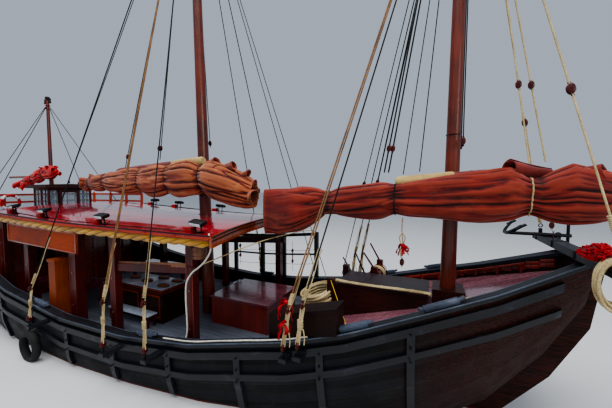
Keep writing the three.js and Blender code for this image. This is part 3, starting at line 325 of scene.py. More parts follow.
finishes = {
    "hull": hullPaint("tarredHull"),
    # tarred timber: its blue-grey patches are wear and a painted sky highlight on the wales and caps
    "tarTimber": timber("tarredTimber", "1b1d24", "090a0e", rough=0.45, patchShare=0.5, patchTone="525a6a", coat=0.04,
                        shine=0.35),
    "deckGrey": timber("greyDeck", "7d8695", "454b57", across=alongY, board=0.14, rough=0.6, patchShare=0.4,
                       patchTone="a2acb8"),
    "deckRed": timber("redDeck", "8e4450", "5e2632", across=alongY, board=0.16, rough=0.2, coat=1.0,
                      patchShare=0.35, patchTone="b49aa0"),
    # paler than the red deck, with more pale patches: the red paint and its wear, lightened by a painted sky
    # reflection on the wet foredeck
    "foreRed": timber("redForedeck", "a4707c", "6e3d4a", across=alongY, board=0.16, rough=0.2, coat=1.0,
                      patchShare=0.45, patchTone="c4b2b8"),
    "lidTimber": timber("hatchBoards", "32171a", "170a0c", across=alongY, board=0.3, coat=0.1, patchShare=0.2,
                        patchTone="6a5050", shine=0.3),
    "redBoards": timber("redBoards", "96280e", "521006", "z", alongX, 0.2, 0.32, 0.5, 0.1, "b06a4a"),
    "redCross": timber("redCrossBoards", "86200c", "420d06", "z", alongY, 0.18, 0.3, 0.5, 0.1, "b06a4a"),
    "darkTimber": timber("darkTimber", "3c150e", "1a0806", coat=0.08, patchShare=0.12, shine=0.3),
    "bittWood": timber("bittWood", "8a3a0c", "4a1606", "z", rough=0.45, patchTone="a86a34", shine=0.3),
    "chestTimber": timber("chestTimber", "24120c", "0e0705", rough=0.5, patchTone="5a3820", shine=0.15),
    "darkPost": timber("darkPost", "56120e", "26070a", "z", rough=0.36, coat=0.12, patchShare=0.1, shine=0.3),
    "varnish": timber("varnish", "a1430f", "642208", "z", alongX, 0.17, 0.28, 0.6, 0.1, "d09060"),
    "varnishCross": timber("varnishCross", "a84a14", "6b260a", "z", alongY, 0.24, 0.28, 0.6, 0.1, "d09060"),
    "board": timber("boardVarnish", "a64010", "6a2408", rough=0.5, patchShare=0.35, patchTone="b4703a", bump=0.6,
                    shine=0.25),
    "mast": timber("mastVarnish", "742408", "3c1006", "z", rough=0.42, coat=0.2, patchShare=0.25, patchTone="93502a"),
    "spar": timber("sparVarnish", "7c3010", "451708", rough=0.42, coat=0.3, patchShare=0.25),
    "roof": lacquer("roofLacquer", "a81c2c", "7c0f1b", 0.09, 0.05, 0.35),
    "table": lacquer("tableLacquer", "7d2c44", "571a2e", 0.1, 0.02, 0.1),
    "rail": timber("railRed", "b63a16", "7c200c", rough=0.35, coat=0.3, patchShare=0.2, patchTone="cf7a4e"),
    "iron": metal("blackIron", "141518", "4b3a30", 0.5, 0.4),
    "steel": metal("bareSteel", "8c9094", "5a4c40", 0.9, 0.35),
    "bronze": metal("dullBronze", "8a6a2e", "4f5a44", 0.9, 0.3),
    "engine": metal("enginePaint", "3d4a42", "22241f", 0.1, 0.5),
    # each cloth: light and dark tones, a shade tone that is painted shade in the folds, and a faded tone that
    # is fading and a painted highlight on the crests
    "mainCloth": cloth("mainCanvas", "8c341e", "601810", "300606", 0.9, fadedAndHighlightTone="b4754a"),
    "foreCloth": cloth("foreCanvas", "7a1a14", "4c0a0b", "1a0305", 0.8, fadedAndHighlightTone="9a402a"),
    "mizzenCloth": cloth("mizzenCanvas", "d60c12", "8c0509", "220103", 0.3, fadedAndHighlightTone="e2261c"),
    "maroonCloth": cloth("maroonWrap", "6a1a22", "4a0e16", "24060a", 0.1),
    "creamCloth": cloth("creamWrap", "c4ab72", "9c8250", "57452a"),
    "gold": cloth("goldFringe", "cf9a2c", "946414", "4a2c06", sheen=0.4),
    "creamRope": ropePaint("creamRope", "cdbb92", "8d7a56"),
    "ovalWood": timber("ovalWood", "a06c42", "6e4022", rough=0.5, patchShare=0.2, patchTone="c09468"),
    "tanRope": ropePaint("tanRope", "94704e", "5c412c"),
    "whiteCord": ropePaint("whiteCord", "d9d7cf", "aeaa9e"),
    "boardWorn": timber("wornBoard", "8a5a3c", "4f2d1c", "z", rough=0.5, patchShare=0.45, patchTone="b59a80"),
    "darkRope": ropePaint("darkRope", "2a2826", "101012"),
    "yellowRope": ropePaint("yellowRope", "d6b43a", "a07c1c"),
    "redTape": ropePaint("redRope", "b0222a", "7a1218"),
    "rubber": plain("tyreRubber", "1d1d1e", "0d0d0e", 0.8),
    # blue-grey weathered timber of the chocks; on the cap's edge strips it is wear and a painted highlight
    "chock": timber("weatheredChockAndEdgeHighlight", "4a5568", "272d3a", rough=0.55, patchShare=0.5, patchTone="8a94a4"),
    "netShade": plain("netShade", "8a1018", "50060a", 0.85),
    "paneGlass": plain("paneGlass", "a9bcc8", "8fa5b3", 0.08, Alpha=0.28, Coat_Weight=1.0, Coat_Roughness=0.02),
    # opaque and near black, unlike the see-through panes: painted shade of the unlit cabin behind the glass
    "glass": plain("windowGlass", "1b2328", "0f1518", 0.12, Coat_Weight=1.0, Coat_Roughness=0.03),
    "lampGlass": plain("lampGlass", "c9cdd0", "a8adb2", 0.15, Coat_Weight=0.8),
    "redBox": plain("redBox", "b5201c", "8c1512", 0.35),
    "blueTop": plain("blueTop", "c3d0e0", "a8b6ca", 0.3, Coat_Weight=0.3),
    "whitePaint": plain("whitePaint", "d9dadb", "b3b5b6", 0.5),
    "yellowPanel": plain("yellowPanel", "d98f22", "b76a14", 0.4),
}

cadFinish = {  # the CAD nodes that each finish covers
    "hull": "hull keel_and_stem bulwark_starboard bulwark_port transom bow_board rudder",
    "tarTimber": "wales_starboard wales_port cap_rail_starboard cap_rail_port stanchion_frame_port bow_beam",
    "deckGrey": "main_deck",
    "foreRed": "foredeck",
    "deckRed": "poop_deck hatch_lid",
    "lidTimber": "fore_hatch_lid",
    "redBoards": "cabin_side_starboard cabin_side_port hatch_trunk",
    "redCross": "cabin_front",
    "varnishCross": "cabin_door roof_fascia",
    "roof": "canopy_roof",
    "darkPost": "canopy_frame_starboard canopy_frame_port windlass_posts wheelhouse_walls wheelhouse_door",
    "darkTimber": "roof_beams counter fore_hatch_coaming fore_mast_collar wheelhouse_roof",
    "board": "sign_board",
    "iron": "roof_lamps_starboard roof_lamps_port anchor",
    "table": "table_starboard table_port",
    "bittWood": "mooring_bitt",
    "chestTimber": "rail_chest",
    "spar": "windlass_barrel main_boom fore_boom",
    "mast": "main_mast fore_mast mizzen_mast",
    "mainCloth": "main_sail",
    "foreCloth": "fore_sail",
    "mizzenCloth": "mizzen_sail",
    "rail": "stern_rail",
    "bronze": "propeller",
    "darkRope": "main_rigging fore_rigging mizzen_rigging",
    "engine": "engine",
    "gold": "fringe_starboard fringe_port",
}
for finishName, covered in cadFinish.items():
    for nodeName in covered.split():
        for place in nodes[nodeName].material_slots:
            place.material = finishes[finishName]
print("frame finished")


# Lines of the ship, as the solids have them
shipStations = [  # x, half beam, sheer height
    (-8.8, 1.9, 2.82), (-7.6, 2.25, 2.48), (-6.2, 2.45, 2.15), (-4.9, 2.54, 1.8), (-3.5, 2.6, 1.45),
    (-1.0, 2.55, 1.12), (1.0, 2.42, 1.06), (2.7, 2.25, 1.18), (4.6, 1.95, 1.5), (5.6, 1.75, 1.76),
    (6.7, 1.42, 2.13), (7.8, 1.04, 2.5), (8.6, 0.7, 2.82), (9.1, 0.48, 3.03),
]
roofLine = [(-4.8, 2.45, 3.5), (-1.5, 2.33, 3.35), (1.0, 2.13, 3.29), (3.05, 2.05, 3.27)]  # x, half width, edge
roofCamber = 0.18
foreDeckLine = [(4.6, 1.36), (7.15, 2.08), (9.1, 2.76)]  # x, height
masts = {  # x at the foot, foot height, top height, lean, foot radius, head radius
    "main": (1.1, 0.7, 15.5, -0.0262, 0.175, 0.08),
    "fore": (7.15, 2.06, 12.5, 0.0115, 0.14, 0.085),
    "mizzen": (-6.8, 3.0, 7.7, 0.0, 0.075, 0.05),
}


def lookUp(table, x, column):
    x = min(max(x, table[0][0]), table[-1][0])
    for before, after in zip(table, table[1:]):
        if x <= after[0]:
            share = (x - before[0]) / (after[0] - before[0])
            return before[column] + (after[column] - before[column]) * share


def halfBeam(x):
    return lookUp(shipStations, x, 1)


def sheer(x):
    return lookUp(shipStations, x, 2)


def roofHalf(x):
    return lookUp(roofLine, x, 1)


def roofEdge(x):
    return lookUp(roofLine, x, 2)


def roofTop(x, y):
    return roofEdge(x) + roofCamber * (1 - (y / roofHalf(x)) ** 2)


def mastAt(name, z):  # the mast's middle and radius at a height
    x, foot, top, lean, low, high = masts[name]
    return Vector((x + (z - foot) * lean, 0, z)), low + (high - low) * (z - foot) / (top - foot)


def wave(x, seed):  # a smooth wandering value between about -1 and 1
    chance = random.Random(seed)
    total = 0
    for step in range(4):
        pace, start = chance.uniform(0.7, 1.3), chance.uniform(0, 6.28)
        total += math.sin(x * (1.0 + 0.9 * step) * pace + start) / (1 + 0.5 * step)
    return total / 2.2


# Shape tools
def lift(z):
    return Vector((0, 0, z))


def around(angle, radius=1.0):
    return Vector((math.cos(angle), math.sin(angle), 0)) * radius


def aim(direction, across=(0, 0, 1)):  # local z along the direction
    z = Vector(direction).normalized()
    side = Vector(across) if abs(z.dot(Vector(across))) < 0.98 else Vector((1, 0, 0))
    x = side.cross(z).normalized()
    return Matrix((x, z.cross(x), z)).transposed().to_4x4()


def addPiece(name, mesh, finish, body="hull_body", smooth=35, node=None):
    bmesh.ops.remove_doubles(mesh, verts=mesh.verts, dist=1e-5)
    bmesh.ops.recalc_face_normals(mesh, faces=mesh.faces)
    data = bpy.data.meshes.new(name)
    mesh.to_mesh(data)
    mesh.free()
    for tone in [finish] if isinstance(finish, str) else finish:
        data.materials.append(finishes[tone])
    piece = bpy.data.objects.new(name, data)
    bpy.context.collection.objects.link(piece)
    data.polygons.foreach_set("use_smooth", [True] * len(data.polygons))
    data.set_sharp_from_angle(angle=math.radians(smooth))
    if body:
        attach(piece, body)
    if node:
        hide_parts(node)
    return piece


def surface(mesh, columns, rows, place, closed=False, capped=False, material=0):
    made = bmesh.ops.create_grid(mesh, x_segments=columns, y_segments=rows, size=1)["verts"]
    for vert in made:
        vert.co = place((vert.co.x + 1) / 2, (vert.co.y + 1) / 2)
    if material:
        for face in facesOf(made):
            face.material_index = material
    if closed:
        bmesh.ops.remove_doubles(mesh, verts=made, dist=1e-5)
        made = [vert for vert in made if vert.is_valid]
    if capped:
        rim = {edge for vert in made for edge in vert.link_edges if edge.is_boundary}
        bmesh.ops.holes_fill(mesh, edges=list(rim))


def markFolds(piece, reach=10, depth=0.012):  # writes how far each point stands out of its surroundings; the cloth paint turns it into painted shade in the hollows and a painted highlight on the ridges
    data = piece.data
    count = len(data.vertices)
    spots, normals = np.empty(count * 3, "f"), np.empty(count * 3, "f")
    data.vertices.foreach_get("co", spots)
    data.vertices.foreach_get("normal", normals)
    spots = spots.reshape(-1, 3)
    edges = np.empty(len(data.edges) * 2, "i")
    data.edges.foreach_get("vertices", edges)
    first, second = edges.reshape(-1, 2).T
    degree = np.bincount(edges, minlength=count)[:, None]
    calm = spots.copy()
    for step in range(reach):
        total = np.zeros_like(calm)
        for axis in range(3):
            total[:, axis] = (np.bincount(first, calm[second, axis], count)
                              + np.bincount(second, calm[first, axis], count))
        calm = total / np.maximum(degree, 1)
    stands = ((spots - calm) * normals.reshape(-1, 3)).sum(axis=1) / depth
    values = data.attributes.new("fold", "FLOAT", "POINT")
    values.data.foreach_set("value", np.clip(0.5 + stands * 0.5, 0, 1).astype("f"))


def thicken(piece, thickness, offset=-1):
    skin = piece.modifiers.new("thickness", "SOLIDIFY")
    skin.thickness, skin.offset = thickness, offset


def facesOf(verts):
    return list({face for vert in verts for face in vert.link_faces})


def roundEdges(mesh, edges, bevel):
    bmesh.ops.bevel(mesh, geom=edges, offset=bevel, segments=2, affect="EDGES", profile=0.5, material=-1)


def sized(place, size):  # the matrix that puts a unit block at a place, in a size
    return Matrix.Translation(place) @ Matrix.Diagonal((*size, 1))


def cube(mesh, shape, bevel=0.0, material=0):
    made = bmesh.ops.create_cube(mesh, size=1, matrix=shape)["verts"]
    for face in facesOf(made):
        face.material_index = material
    if bevel:
        roundEdges(mesh, list({edge for vert in made for edge in vert.link_edges}), bevel)


def bar(mesh, a, b, width, height, bevel=0.006, material=0):  # a squared timber
    a, b = Vector(a), Vector(b)
    shape = Matrix.Translation((a + b) / 2) @ aim(b - a) @ Matrix.Diagonal((width, height, (b - a).length, 1))
    cube(mesh, shape, bevel, material)


def box(mesh, low, high, bevel=0.006, material=0):
    low, high = Vector(low), Vector(high)
    cube(mesh, sized((low + high) / 2, high - low), bevel, material)


def plate(mesh, middle, half, low, high, bevel=0.006, material=0):  # an upright block round a point in plan
    box(mesh, (middle[0] - half[0], middle[1] - half[1], low), (middle[0] + half[0], middle[1] + half[1], high),
        bevel, material)


def roundBlock(mesh, shape, low, high, depth, sides, bevel, material):
    made = bmesh.ops.create_cone(mesh, cap_ends=True, segments=sides, radius1=low, radius2=high, depth=depth,
                                 matrix=shape)["verts"]
    faces = facesOf(made)
    for face in faces:
        face.material_index = material
    if bevel:
        roundEdges(mesh, list({edge for face in faces if len(face.verts) > 4 for edge in face.edges}), bevel)


def drum(mesh, a, b, radius, endRadius=None, sides=20, bevel=0.0, material=0):
    a, b = Vector(a), Vector(b)
    roundBlock(mesh, Matrix.Translation((a + b) / 2) @ aim(b - a), radius,
               radius if endRadius is None else endRadius, (b - a).length, sides, bevel, material)


def oval(mesh, centre, size, low, high, material=0, bevel=0.008):
    roundBlock(mesh, sized((*centre, (low + high) / 2), (*size, high - low)), 1, 1, 1, 30, bevel, material)


def ring(mesh, centre, direction, radius, thick, sides=24, section=8, material=0):  # a full spin of a circle
    turn = Matrix.Translation(Vector(centre)) @ aim(direction)
    edge = Matrix.Translation((radius, 0, 0)) @ Matrix.Rotation(math.pi / 2, 4, "X")
    made = bmesh.ops.create_circle(mesh, segments=section, radius=thick, matrix=turn @ edge)["verts"]
    rim = list({edge for vert in made for edge in vert.link_edges})
    spun = bmesh.ops.spin(mesh, geom=made + rim, cent=Vector(centre), axis=turn.to_3x3() @ lift(1),
                          angle=math.tau, steps=sides, use_merge=True)
    if material:
        for item in spun["geom_last"]:
            for face in item.link_faces:
                face.material_index = material


def smoothPath(points, count):
    knots = [Vector(point) for point in points]
    if len(knots) == 2:
        return [knots[0].lerp(knots[1], step / count) for step in range(count + 1)]
    knots = [knots[0] * 2 - knots[1], *knots, knots[-1] * 2 - knots[-2]]
    made = []
    spans = len(knots) - 3
    for step in range(count + 1):
        place = min(step / count * spans, spans - 1e-6)
        index = int(place)
        t = place - index
        a, b, c, d = knots[index:index + 4]
        made.append(0.5 * (2 * b + (c - a) * t + (2 * a - 5 * b + 4 * c - d) * t * t
                           + (3 * b - a - 3 * c + d) * t ** 3))
    return made


def sweep(mesh, path, profile, material=0):  # carries an outline along a path
    path = [Vector(point) for point in path]
    last = len(path) - 1

    def place(u, v):
        at = min(int(round(v * last)), last)
        turn = aim(path[min(at + 1, last)] - path[max(at - 1, 0)]).to_3x3()
        return path[at] + turn @ Vector((*profile[int(round(u * len(profile))) % len(profile)], 0))
    surface(mesh, len(profile), last, place, closed=True, capped=True, material=material)


def rounded(width, height, corner=0.25):  # an outline with cut corners
    w, h, c = width / 2, height / 2, corner * min(width, height)
    return [(-w + c, -h), (w - c, -h), (w, -h + c), (w, h - c),
            (w - c, h), (-w + c, h), (-w, h - c), (-w, -h + c)]


def addRopes(name, paths, radius, finish, body="hull_body", sides=6, node=None):
    curve = bpy.data.curves.new(name, "CURVE")
    curve.dimensions = "3D"
    curve.bevel_depth = radius
    curve.bevel_resolution = max(0, sides // 2 - 2)
    curve.use_fill_caps = True
    for path in paths:
        spline = curve.splines.new("POLY")
        spline.points.add(len(path) - 1)
        for point, place in zip(spline.points, path):
            point.co = (*place, 1)
    holder = bpy.data.objects.new(name + "Line", curve)
    bpy.context.collection.objects.link(holder)
    bpy.context.view_layer.update()
    mesh = bmesh.new()
    mesh.from_mesh(holder.to_mesh())
    holder.to_mesh_clear()
    bpy.data.objects.remove(holder)
    bpy.data.curves.remove(curve)
    for layer in list(mesh.loops.layers.uv):
        mesh.loops.layers.uv.remove(layer)
    return addPiece(name, mesh, finish, body, 80, node)


# Furled sails: bundles of folds that ties pinch together
sails = {
    "main": {
        "node": "main_sail", "body": "main_sail_set", "finish": "mainCloth", "y": -0.47,
        "outline": [  # x, middle height, half height, half width
            (-3.85, 4.3, 0.07, 0.06), (-3.7, 4.32, 0.17, 0.13), (-3.3, 4.37, 0.23, 0.18),
            (-2.6, 4.4, 0.28, 0.21), (-1.8, 4.4, 0.34, 0.23), (-1.0, 4.43, 0.38, 0.25),
            (-0.4, 4.45, 0.41, 0.26), (0.3, 4.47, 0.44, 0.28), (1.0, 4.48, 0.46, 0.29),
            (1.6, 4.43, 0.46, 0.29), (2.2, 4.3, 0.44, 0.28), (2.7, 4.16, 0.38, 0.25), (3.02, 4.05, 0.3, 0.19)],
        "ties": [(-3.35, 0.16, "mainCloth"), (-2.55, 0.12, "mainCloth"), (-0.9, 0.1, "mainCloth"),
                 (0.25, 0.08, "mainCloth"), (1.42, 0.2, "darkRope")],  # x, pinch, finish
        "folds": 2.1, "run": 0.5, "depth": 0.2, "droop": 0.05, "seed": 11, "openBack": 0, "openFront": 0.22,
    },
    "fore": {
        "node": "fore_sail", "body": "fore_sail_set", "finish": "foreCloth", "y": -0.44,
        "outline": [
            (3.27, 3.62, 0.5, 0.1), (3.65, 3.64, 0.5, 0.15), (4.2, 3.77, 0.43, 0.2), (4.75, 3.88, 0.3, 0.2),
            (5.3, 3.93, 0.31, 0.22), (6.2, 4.0, 0.33, 0.24), (7.0, 4.04, 0.38, 0.26), (7.6, 4.07, 0.41, 0.27),
            (8.0, 4.1, 0.44, 0.27), (8.4, 4.06, 0.34, 0.24), (8.8, 4.14, 0.45, 0.27), (9.3, 4.08, 0.37, 0.25),
            (9.65, 4.03, 0.27, 0.19), (9.8, 4.0, 0.12, 0.1)],
        "ties": [(4.85, 0.2, "foreCloth"), (6.2, 0.12, "darkRope"), (8.28, 0.16, "creamRope"),
                 (9.35, 0.1, "foreCloth")],
        "folds": 1.7, "run": 0.42, "depth": 0.17, "droop": 0.04, "seed": 29, "openBack": 0.3, "openFront": 0,
    },
    "mizzen": {
        "node": "mizzen_sail", "body": "mizzen_sail_set", "finish": "mizzenCloth", "y": -0.25,
        "outline": [
            (-8.8, 4.3, 0.06, 0.05), (-8.6, 4.33, 0.14, 0.1), (-8.2, 4.4, 0.2, 0.14), (-7.6, 4.55, 0.23, 0.16),
            (-7.0, 4.7, 0.25, 0.17), (-6.5, 4.78, 0.27, 0.16), (-6.1, 4.8, 0.22, 0.13),
            (-5.8, 4.78, 0.08, 0.06)],
        "ties": [(-8.45, 0.2, "darkRope"), (-7.55, 0.28, "mizzenCloth"), (-6.75, 0.2, "mizzenCloth")],
        "folds": 1.5, "run": 1.6, "depth": 0.34, "droop": 0.03, "seed": 5, "openBack": 0, "openFront": 0,
    },
}
pleats = {
    "tieReach": 0.15, "pinchReach": 0.16, "lump": 0.18, "pucker": 0.09, "puckers": 13, "step": 0.03,
    "columns": 110, "hem": (0.04, 0.03), "cordRadius": 0.012, "cordRise": 0.008,
}


noise.seed_set(3)  # the same folds each run


def crease(x, angle, run, folds, seed):  # 1 along wandering lines that mostly follow x, 0 away from them
    spot = Vector((x * run, math.cos(angle) * folds, math.sin(angle) * folds + seed * 7.3))
    spot += noise.noise_vector(spot * 0.7) * 0.7
    return 1 - min(1, abs(noise.noise(spot)) * 3.0) ** 0.7


def sailShape(sail):
    outline, ties, run, folds, seed = (sail[key] for key in ("outline", "ties", "run", "folds", "seed"))
    ends = [outline[0][0], *(tie[0] for tie in ties), outline[-1][0]]

    def place(x, u, grow=0.0):
        angle = u * math.tau
        middle, high, wide = (lookUp(outline, x, column) for column in (1, 2, 3))
        near = max(math.exp(-((x - at) / pleats["tieReach"]) ** 2) for at in ends[1:-1])
        pinch = sum(amount * math.exp(-((x - at) / pleats["pinchReach"]) ** 2) for at, amount, tone in ties)
        start, stop = next((a, b) for a, b in zip(ends, ends[1:]) if x <= b + 1e-6)
        share = (x - start) / (stop - start)
        busy = 0.55 + 0.45 * wave(x * 1.1 + math.cos(angle), seed + 3)
        deep = crease(x, angle, run, folds, seed)
        small = crease(x, angle, run * 1.7, folds * 2.3, seed + 1)
        fine = crease(x, angle, run * 2.6, folds * 5, seed + 2)
        pucker = abs(math.sin(angle * pleats["puckers"] + 2 * wave(x * 3, seed + 6)))
        lump = noise.noise(Vector((x * 1.3, math.cos(angle) * 0.9, math.sin(angle) * 0.9 + seed)))
        lobe = 1.06 - sail["depth"] * (deep + 0.5 * small * busy + 0.1 * fine) + pleats["lump"] * lump
        lobe -= pleats["pucker"] * near * (1 - pucker ** 0.7)
        lobe = lobe * (1 - pinch) + grow / max(high, 0.05)
        y = math.copysign(abs(math.cos(angle)) ** 0.9, math.cos(angle)) * wide * lobe
        z = math.copysign(abs(math.sin(angle)) ** 0.95, math.sin(angle)) * high * lobe
        sag = sail["droop"] * 4 * share * (1 - share) * (0.5 - 0.5 * math.sin(angle))
        return Vector((x, sail["y"] + y, middle + z - sag))
    return place


def titled(word):
    return word[0].upper() + word[1:]


def makeSail(name):
    sail = sails[name]
    first, last = sail["outline"][0][0], sail["outline"][-1][0]
    length = last - first
    total = length + sail["openBack"] + sail["openFront"]
    hemDepth, hemRun = pleats["hem"]
    place = sailShape(sail)

    def fold(u, v):  # an open end turns in on itself, like a hem
        run = v * total - sail["openBack"]
        inside = max(0.0, -run, run - length)
        x = first + min(max(run, 0), length)
        spot = place(x, u)
        if inside > 0:
            inward = hemDepth * min(1, inside / hemRun)
            middle = Vector((x, sail["y"], lookUp(sail["outline"], x, 1)))
            spot = middle + (spot - middle) * (1 - inward / 0.3 - inside * 0.35)
            spot.x += inside if run < 0 else -inside
        return spot

    mesh = bmesh.new()
    surface(mesh, pleats["columns"], int(total / pleats["step"]), fold, closed=True, capped=True)
    piece = addPiece(name + "SailCloth", mesh, sail["finish"], sail["body"], 75, sail["node"])
    markFolds(piece)

    def cord(u, v):  # a thin cord round the bundle
        turn = v * math.tau
        return place(at + pleats["cordRadius"] * math.cos(turn), u,
                     pleats["cordRise"] + pleats["cordRadius"] * math.sin(turn))

    for tone in sorted({tie[2] for tie in sail["ties"]}):
        mesh = bmesh.new()
        for at, pinch, kind in sail["ties"]:
            if kind == tone:
                surface(mesh, 90, 6, cord, closed=True)
        addPiece(f"{name}Sail{titled(tone)}Ties", mesh, tone, sail["body"], 40)


for name in sails:
    makeSail(name)
print("sails furled")

yards = {  # a tapered spar in two cloths: its ends, end radii, and the stretch that each cloth wraps
    "main": {"from": (-2.0, 4.72), "to": (1.45, 4.9), "radii": (0.075, 0.095),
             "Dark": (0, 0.68), "Pale": (0.68, 1)},
    "fore": {"from": (6.2, 4.32), "to": (7.74, 4.42), "radii": (0.08, 0.1), "Dark": (0, 1), "Pale": (0, 0.66)},
}
wraps = {"Dark": ("maroonCloth", 0.0), "Pale": ("creamCloth", 0.012)}  # finish, rise


def makeYard(name):
    yard, sail = yards[name], sails[name]
    start, end = (Vector((yard[key][0], sail["y"], yard[key][1])) for key in ("from", "to"))
    thin, thick = yard["radii"]
    turn = aim(end - start, (0, 1, 0)).to_3x3()
    for part, (tone, grow) in wraps.items():
        low, high = yard[part]

        def place(u, v):
            along = low + (high - low) * v
            edge = min(1, min(v, 1 - v) * 22)
            spiral = (along * 26 + u) % 1  # the edge of each turn of the wrap stands a little proud
            radius = thin + (thick - thin) * along + grow
            radius += 0.006 * spiral * edge - 0.02 * (1 - edge) + 0.004 * wave(along * 30 + u * 6, 3)
            return start.lerp(end, along) + turn @ around(u * math.tau) * radius
        mesh = bmesh.new()
        surface(mesh, 40, 90, place, closed=True, capped=True)
        markFolds(addPiece(f"{name}Yard{part}Wrap", mesh, tone, sail["body"], 60, sail["node"]))


for name in yards:
    makeYard(name)

# Rolled ends of cloth, open like a scroll: place of the mouth, direction, radii, length, turns
scrolls = {
    "main": [
        ((2.02, -0.62, 4.62), (1.0, -0.5, -0.35), 0.17, 0.06, 0.7, 1.3),
        ((1.85, -0.42, 4.86), (1.0, 0.1, 0.25), 0.13, 0.05, 0.55, 1.2),
        ((2.45, -0.52, 4.74), (1.0, -0.25, 0.05), 0.12, 0.05, 0.6, 1.25),
        ((3.05, -0.6, 3.98), (0.75, -0.45, -0.3), 0.19, 0.08, 0.7, 1.15),
        ((3.03, -0.5, 4.3), (1.0, -0.3, 0.1), 0.1, 0.05, 0.5, 1.3),
        ((2.86, -0.5, 4.55), (1.0, -0.1, 0.25), 0.08, 0.04, 0.5, 1.3),
        ((-3.72, -0.58, 4.36), (-1.0, -0.35, -0.05), 0.19, 0.1, 0.6, 1.25),
        ((-3.2, -0.6, 4.55), (-0.8, -0.3, 0.25), 0.12, 0.06, 0.5, 1.2),
    ],
    "mizzen": [
        ((-5.82, -0.36, 4.86), (1.0, -0.2, 0.1), 0.09, 0.05, 0.4, 1.3),
        ((-5.95, -0.22, 4.98), (1.0, 0.1, 0.5), 0.07, 0.04, 0.4, 1.3),
        ((-6.2, -0.4, 5.02), (0.6, -0.4, 0.8), 0.06, 0.03, 0.35, 1.3),
        ((-5.75, -0.2, 4.72), (1.0, -0.1, -0.15), 0.08, 0.04, 0.4, 1.3),
        ((-6.6, -0.4, 4.98), (-0.3, -0.4, 0.8), 0.07, 0.04, 0.35, 1.2),
        ((-8.7, -0.38, 4.3), (-1.0, -0.2, -0.4), 0.11, 0.06, 0.45, 1.2),
        ((-8.1, -0.42, 4.16), (-0.5, -0.3, -0.9), 0.09, 0.05, 0.35, 1.2),
    ],
    "fore": [
        ((7.98, -0.5, 4.5), (-1.0, -0.2, 0.12), 0.17, 0.08, 0.6, 1.1),
        ((9.15, -0.55, 4.42), (0.9, -0.35, 0.05), 0.13, 0.06, 0.7, 1.2),
    ],
}


def makeScrolls(name):
    mesh = bmesh.new()
    for index, (mouth, direction, wide, narrow, length, turns) in enumerate(scrolls[name]):
        axis = Vector(direction).normalized()
        turn = aim(axis, (0, 1, 0)).to_3x3()

        def place(u, v):
            angle = u * math.tau * turns + index * 1.9
            radius = (narrow + (wide - narrow) * v ** 1.6) * (1 - 0.22 * u)
            radius *= 1 + 0.1 * wave(angle + v * 3, index + 40)
            edge = 0.05 * math.sin(angle + index) * v
            flat = Vector((math.cos(angle), math.sin(angle) * 0.86, 0)) * radius
            return Vector(mouth) + axis * ((v - 1) * length + edge) + turn @ flat
        surface(mesh, 46, 22, place)
    sail = sails[name]
    piece = addPiece(name + "SailRolls", mesh, sail["finish"], sail["body"], 80, sail["node"])
    markFolds(piece, depth=0.03)
    thicken(piece, 0.012, 0)


for name in scrolls:
    makeScrolls(name)


def makeMizzenBoom():
    mesh = bmesh.new()
    drum(mesh, (-9.4, -0.25, 4.64), (-5.9, -0.25, 4.65), 0.045, 0.036, 16, 0.01)
    ring(mesh, (-6.8, 0, 4.7), (0, 0, 1), 0.095, 0.024, 28, 10)
    bar(mesh, (-6.8, -0.08, 4.69), (-6.8, -0.25, 4.66), 0.05, 0.05)
    addPiece("mizzenBoom", mesh, "spar", "mizzen_sail_set", 40, "mizzen_sail")


makeMizzenBoom()
print("yards and rolls made")

garland = {"thick": 0.082, "pitch": 0.36, "sag": 0.012, "from": -4.78, "to": 3.0, "inset": 0.055, "drop": 0.122}


def makeGarland(side, name, node):  # a twisted cloth garland hung under the eaves
    def place(u, v):
        x = garland["from"] + (garland["to"] - garland["from"]) * v
        angle = u * math.tau
        twist = x / garland["pitch"] * math.tau * side
        lobe = abs(math.cos(1.5 * (angle - twist / 3 + 0.3 * wave(x * 1.7, 72))))
        end = min(1, min(v, 1 - v) * 60)
        radius = garland["thick"] * (0.66 + 0.42 * lobe ** 0.6) * (0.35 + 0.65 * end)
        radius *= 1 + 0.07 * wave(x * 5 + angle, 71)
        y = side * (roofHalf(x) - garland["inset"])
        z = roofEdge(x) - garland["drop"] - garland["sag"] * abs(math.sin(x * 2.6))
        return Vector((x, y + radius * math.cos(angle) * 0.8, z + radius * math.sin(angle) * 1.05))
    mesh = bmesh.new()
    surface(mesh, 36, 620, place, closed=True, capped=True)
    piece = addPiece(name, mesh, "gold", smooth=75, node=node)
    markFolds(piece, 8, 0.01)


makeGarland(-1, "garlandStarboard", "fringe_starboard")
makeGarland(1, "garlandPort", "fringe_port")

roofTrim = {
    "side": [(-0.008, -0.04, (0.055, 0.028), 0), (0.03, 0.008, (0.022, 0.05), 1)],  # inset, rise, size, slot
    "front": [  # rise, height, depth, slot
        (0.004, 0.05, 0.03, 1), (-0.075, 0.018, 0.02, 1), (-0.185, 0.035, 0.026, 0)],
    "frontX": 3.11, "sideSteps": 24, "frontSteps": 20,
}


def makeRoofTrim():
    mesh = bmesh.new()
    first, last, count = roofLine[0][0], roofLine[-1][0], roofTrim["sideSteps"]
    places = [first + (last - first) * step / count for step in range(count + 1)]
    for side in (-1, 1):
        for inset, rise, size, slot in roofTrim["side"]:
            path = [(x, side * (roofHalf(x) - inset), roofEdge(x) + rise) for x in places]
            sweep(mesh, path, rounded(*size), slot)
    half, count = roofLine[-1][1], roofTrim["frontSteps"]
    rows = [half * (step / count * 2 - 1) for step in range(count + 1)]
    for rise, high, deep, slot in roofTrim["front"]:
        x = roofTrim["frontX"] + deep / 2
        sweep(mesh, [(x, y, roofTop(last, y) + rise) for y in rows], rounded(high, deep), slot)
    addPiece("roofTrim", mesh, ["board", "darkTimber"])


makeRoofTrim()

